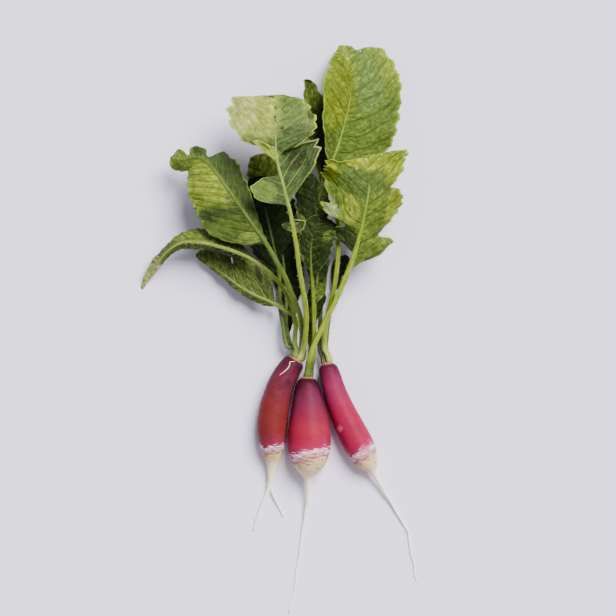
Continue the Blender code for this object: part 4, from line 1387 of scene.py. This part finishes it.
# %% Low left leaf
LOW_LEFT = Leaf(
    "leaf_low_left", "left", -55.0,
    route=[
        (-4, -22, 9), (-4, -14, 11.5), (-7, -6, 13), (-14, -1, 14), (-23, 4, 14.5), (-33, 8.5, 14),
        (-42, 14, 13), (-50, 20, 11), (-59, 27, 8), (-67, 32, 5),
    ],
    stalk=[(0, 1.5), (5, 1.3), (9, 0.9), (11, 0.5)],
    left=[(5.6, 1), (6, 5), (7, 5.5), (8.5, 4), (9.5, 3), (10.4, 2.5), (11, 1)],
    right=[
        (5.75, 1), (5.85, 10), (6, 17), (6.25, 22), (6.6, 25), (7.2, 25), (8, 21), (9, 16),
        (10, 9.5), (10.6, 5), (11, 1),
    ],
    lean=([(5, 20), (11, 30)], [(5.75, 20), (6, 27), (6.25, 36), (6.6, 42), (11, 38)]),
    fold=([(5, -35), (11, -25)], [(5, 6), (11, 8)]),
    curl=([(5, -10), (11, 0)], [(5, -14), (11, -10)]),
    teeth=2.2,
)
dress_leaf(
    LOW_LEFT, 61,
    Colours(
        (90, 108, 40), (94, 112, 42), (84, 100, 38), (150, 166, 84), (124, 138, 54), (118, 134, 54),
        (170, 184, 116),
    ),
    Look(7.0, pillow=0.7, swell=1.2, vein_share=0.6, crease_shade=0.5),
    holes=[(8.33, -12.8, 0.9, 1.7)],
    shaded_bite_scars=[(6.3, -15, 0.9, 4.5), (7, -19, 0.9, 1.0), (8.33, -12.8, 1.4, 2.4)],
)

# %% [markdown]
# A folded leaf stands between the front leaf and the tall one. Only its spine shows.

# %% Narrow leaf
NARROW = Leaf(
    "leaf_narrow", "right", 200.0,
    route=[
        (7, -25, 8.5), (7, -14, 8.5), (8, 1, 8.5), (10, 15, 8.5), (11, 33, 9), (10, 51, 9),
        (9, 67, 9), (8, 82, 10), (6, 96, 12), (4, 110, 15), (1, 123, 19), (-2, 136, 22),
    ],
    stalk=[(0, 1.5), (6, 1.2), (10, 0.9), (13, 0.5)],
    left=[(8.5, 1), (9.2, 6), (10.2, 9), (11.2, 9), (12.2, 6), (13, 1)],
    right=[(8.5, 1), (9.2, 6), (10.2, 10), (11.2, 11), (12.2, 8.5), (12.7, 5.5), (13, 1)],
    lean=(30, 30),
    fold=([(8, 40), (13, 45)], [(8, 40), (11, 35), (13, 30)]),
    curl=(5, 5),
    roll=[(8, 0), (13, 15)], teeth=1.8,
)
dress_leaf(
    NARROW, 71,
    Colours(
        (100, 118, 42), (84, 102, 34), (40, 54, 20), (110, 126, 50), (60, 74, 28), (100, 116, 48),
        (52, 66, 28),
    ),
    Look(7.0, pillow=0.5, swell=1.0, shaded_low_until=0.72),
)

# %% [markdown]
# Two leaves lie at the bottom of the pile on the left and fill the gaps between the others. Their
# greens are painted nearly black as painted shade; on the second, only the part below its tip is.

# %% Back left leaf
BACK_LEFT = Leaf(
    "leaf_back_left", "left", 180.0,
    route=[
        (-13, -22, 10), (-15, -10, 9), (-17, 3, 8), (-17, 17, 8.5), (-19, 30, 9.5), (-22, 44, 10.5),
        (-25, 57, 11), (-27, 68, 11), (-28, 79, 10),
    ],
    stalk=[(0, 1.4), (5, 1.2), (8, 0.9), (10, 0.5)],
    left=[(5.2, 1), (5.5, 9), (6, 15), (6.6, 17), (7.6, 16), (8.6, 13), (9.5, 9), (10, 1.5)],
    right=[(5.9, 1), (6.1, 8), (6.6, 15), (7.6, 20), (8.4, 20), (9.3, 14), (10, 1.5)],
    lean=(25, 20),
    fold=(5, 5),
    curl=(-15, -10),
    teeth=2.2,
)
dress_leaf(
    BACK_LEFT, 83,
    Colours(
        (26, 36, 12), (26, 38, 13), (22, 32, 11), (50, 64, 26), (80, 98, 34), (44, 56, 22),
        (100, 114, 56),
    ),
    Look(7.0, pillow=0.6, swell=1.4, gloss=0.06),
)

# %% [markdown]
# The second of them reaches down to the surface behind the front leaf.

# %% Back upper leaf
BACK_UPPER = Leaf(
    "leaf_back_upper", "left", 238.0,
    route=[
        (-11, -21, 6.5), (-13, -8, 5), (-13, 5, 4.3), (-14, 21, 4), (-16, 38, 4), (-18, 56, 3),
        (-22, 70, 2.2), (-27, 81, 1.4), (-33, 91, 0.8),
    ],
    stalk=[(0, 1.4), (5, 1.2), (8, 0.9), (10, 0.5)],
    left=[
        (3.7, 1), (4.05, 5), (4.5, 8), (5, 9), (5.8, 7), (6.4, 6), (7, 3), (7.3, 1), (7.9, 9),
        (8.6, 11), (9.4, 7), (10, 1.5),
    ],
    right=[
        (2.5, 1), (2.9, 6), (3.4, 8.5), (3.7, 8.5), (4.2, 12), (4.8, 13.5), (5.4, 12), (6, 13),
        (6.6, 11), (7.1, 5), (7.3, 1), (7.9, 10), (8.6, 13), (9.4, 9), (10, 1.5),
    ],
    lean=(25, 25),
    fold=(5, 5),
    curl=(-8, -10),
    teeth=2.0,
)
dress_leaf(
    BACK_UPPER, 97,
    Colours(
        (134, 152, 62), (124, 142, 56), (20, 28, 10), (44, 56, 22), (76, 94, 34), (44, 56, 22),
        (90, 104, 50),
    ),
    Look(7.0, pillow=0.5, swell=0.6, shaded_low_until=0.79, gloss=0.06),
)

# %% [markdown]
# On the right of the front leaf's stalk a leaf stands in the shade, its greens painted dark as
# painted shade.

# %% Centre leaf
CENTRE = Leaf(
    "leaf_centre", "middle", -90.0,
    route=[
        (1, -30, 9), (2, -19, 9), (4, -5, 10), (5, 10, 12), (6, 26, 14.5), (6, 40, 16.5),
        (5, 55, 18), (3, 68, 18), (-1, 80, 16),
    ],
    stalk=[(0, 1.4), (5, 1.3), (8, 0.9), (10, 0.5)],
    left=[
        (2.6, 1), (3, 2.5), (3.6, 4), (4.2, 5), (4.8, 6), (5.05, 4.5), (5.3, 5.5), (5.8, 9),
        (6.4, 11), (6.9, 5), (7.4, 12), (8.3, 14), (9.3, 10), (10, 1.5),
    ],
    right=[
        (3.8, 1), (4.2, 5), (4.6, 7), (4.95, 6), (5.15, 4), (5.4, 6), (5.8, 8), (6.6, 8.5),
        (7.2, 5), (7.8, 9), (8.3, 11), (8.7, 11), (9.2, 7.5), (9.6, 6.5), (9.85, 5), (10, 2),
    ],
    lean=(25, 25),
    fold=(0, [(4, 8), (5.2, 4), (6.4, -12)]),
    curl=(-20, -10),
    teeth=2.2,
)
dress_leaf(
    CENTRE, 101,
    Colours(
        (28, 40, 13), (34, 48, 16), (30, 42, 14), (80, 96, 42), (84, 102, 34), (60, 74, 28),
        (60, 74, 30),
    ),
    Look(7.0, pillow=0.8, swell=1.8, vein_share=0.5, gloss=0.08, specks=0.08, edge=(104, 124, 56)),
    tints=[
        (8.6, -6, 8, 4, (96, 116, 42)), (6.7, -5, 5, 3, (88, 108, 40)),
        (7.5, 10, 5, 4, (78, 98, 36)), (4.2, 4, 8, 3, (70, 88, 30)),
    ],
)

# %% [markdown]
# A small curled leaf stands close beside the stalks, its greens painted dark as painted shade.

# %% Inner leaf
INNER = Leaf(
    "leaf_inner", "middle", -8.0,
    route=[
        (3, -30, 12.5), (3.5, -19, 13.5), (3.5, -5, 15.5), (3, 10, 18), (2, 24, 20.5), (2, 36, 22),
        (4, 46, 22.5), (8, 55, 21),
    ],
    stalk=[(0, 1.4), (5, 1.3), (8, 0.8), (9, 0.5)],
    left=[(5.1, 1), (5.3, 3), (5.5, 1), (5.8, 1), (6.1, 4), (6.6, 8), (7.4, 9), (8.3, 7), (9, 1)],
    right=[
        (4.5, 1), (4.7, 7), (5.0, 9), (5.2, 6), (5.35, 1), (5.6, 1), (5.8, 6), (6.4, 13), (7.2, 15),
        (7.8, 13.5), (8.3, 13), (8.7, 11), (8.9, 7), (9, 1),
    ],
    lean=(20, 15),
    fold=(5, [(5.4, 0), (6, 18)]),
    curl=(-30, -20),
    teeth=2.4,
)
dress_leaf(
    INNER, 113,
    Colours(
        (38, 52, 18), (34, 48, 16), (32, 44, 15), (84, 100, 44), (112, 130, 26), (70, 84, 32),
        (54, 68, 28),
    ),
    Look(5.0, pillow=0.8, swell=1.4, vein_share=0.5, gloss=0.08, specks=0.08, edge=(120, 140, 66)),
    tints=[
        (7.6, -9, 5, 4, (82, 102, 38)), (6.2, 7, 4, 3, (74, 94, 34)),
        (4.9, -4, 6, 5, (88, 106, 32)),
    ],
)

# %% [markdown]
# The youngest leaf is thin and low, and only its tip shows between the stalks. Its greens are painted
# dark as painted shade.

# %% Young leaf
YOUNG = Leaf(
    "leaf_young", "right", -65.0,
    route=[(11, -24, 7), (12, -12, 6), (14, 2, 5), (16, 14, 3.6), (20, 24, 2.4), (26, 28, 1.0)],
    stalk=[(0, 1.2), (4, 1.0), (7, 0.5)],
    left=[(4.8, 0.9), (5.4, 5), (6, 7), (6.6, 5), (7, 1)],
    right=[(4.6, 0.9), (5.0, 5), (5.4, 3), (5.8, 6), (6.4, 5), (7, 1)],
    lean=(25, 25),
    fold=(8, 8),
    curl=(-10, -10),
    teeth=2.0, wave_height=0.8,
)
dress_leaf(
    YOUNG, 127,
    Colours(
        (38, 52, 18), (38, 52, 18), (34, 48, 16), (76, 90, 38), (76, 88, 36), (80, 92, 40),
        (100, 112, 54),
    ),
    Look(4.0, pillow=0.3, swell=0.5, gloss=0.08),
)
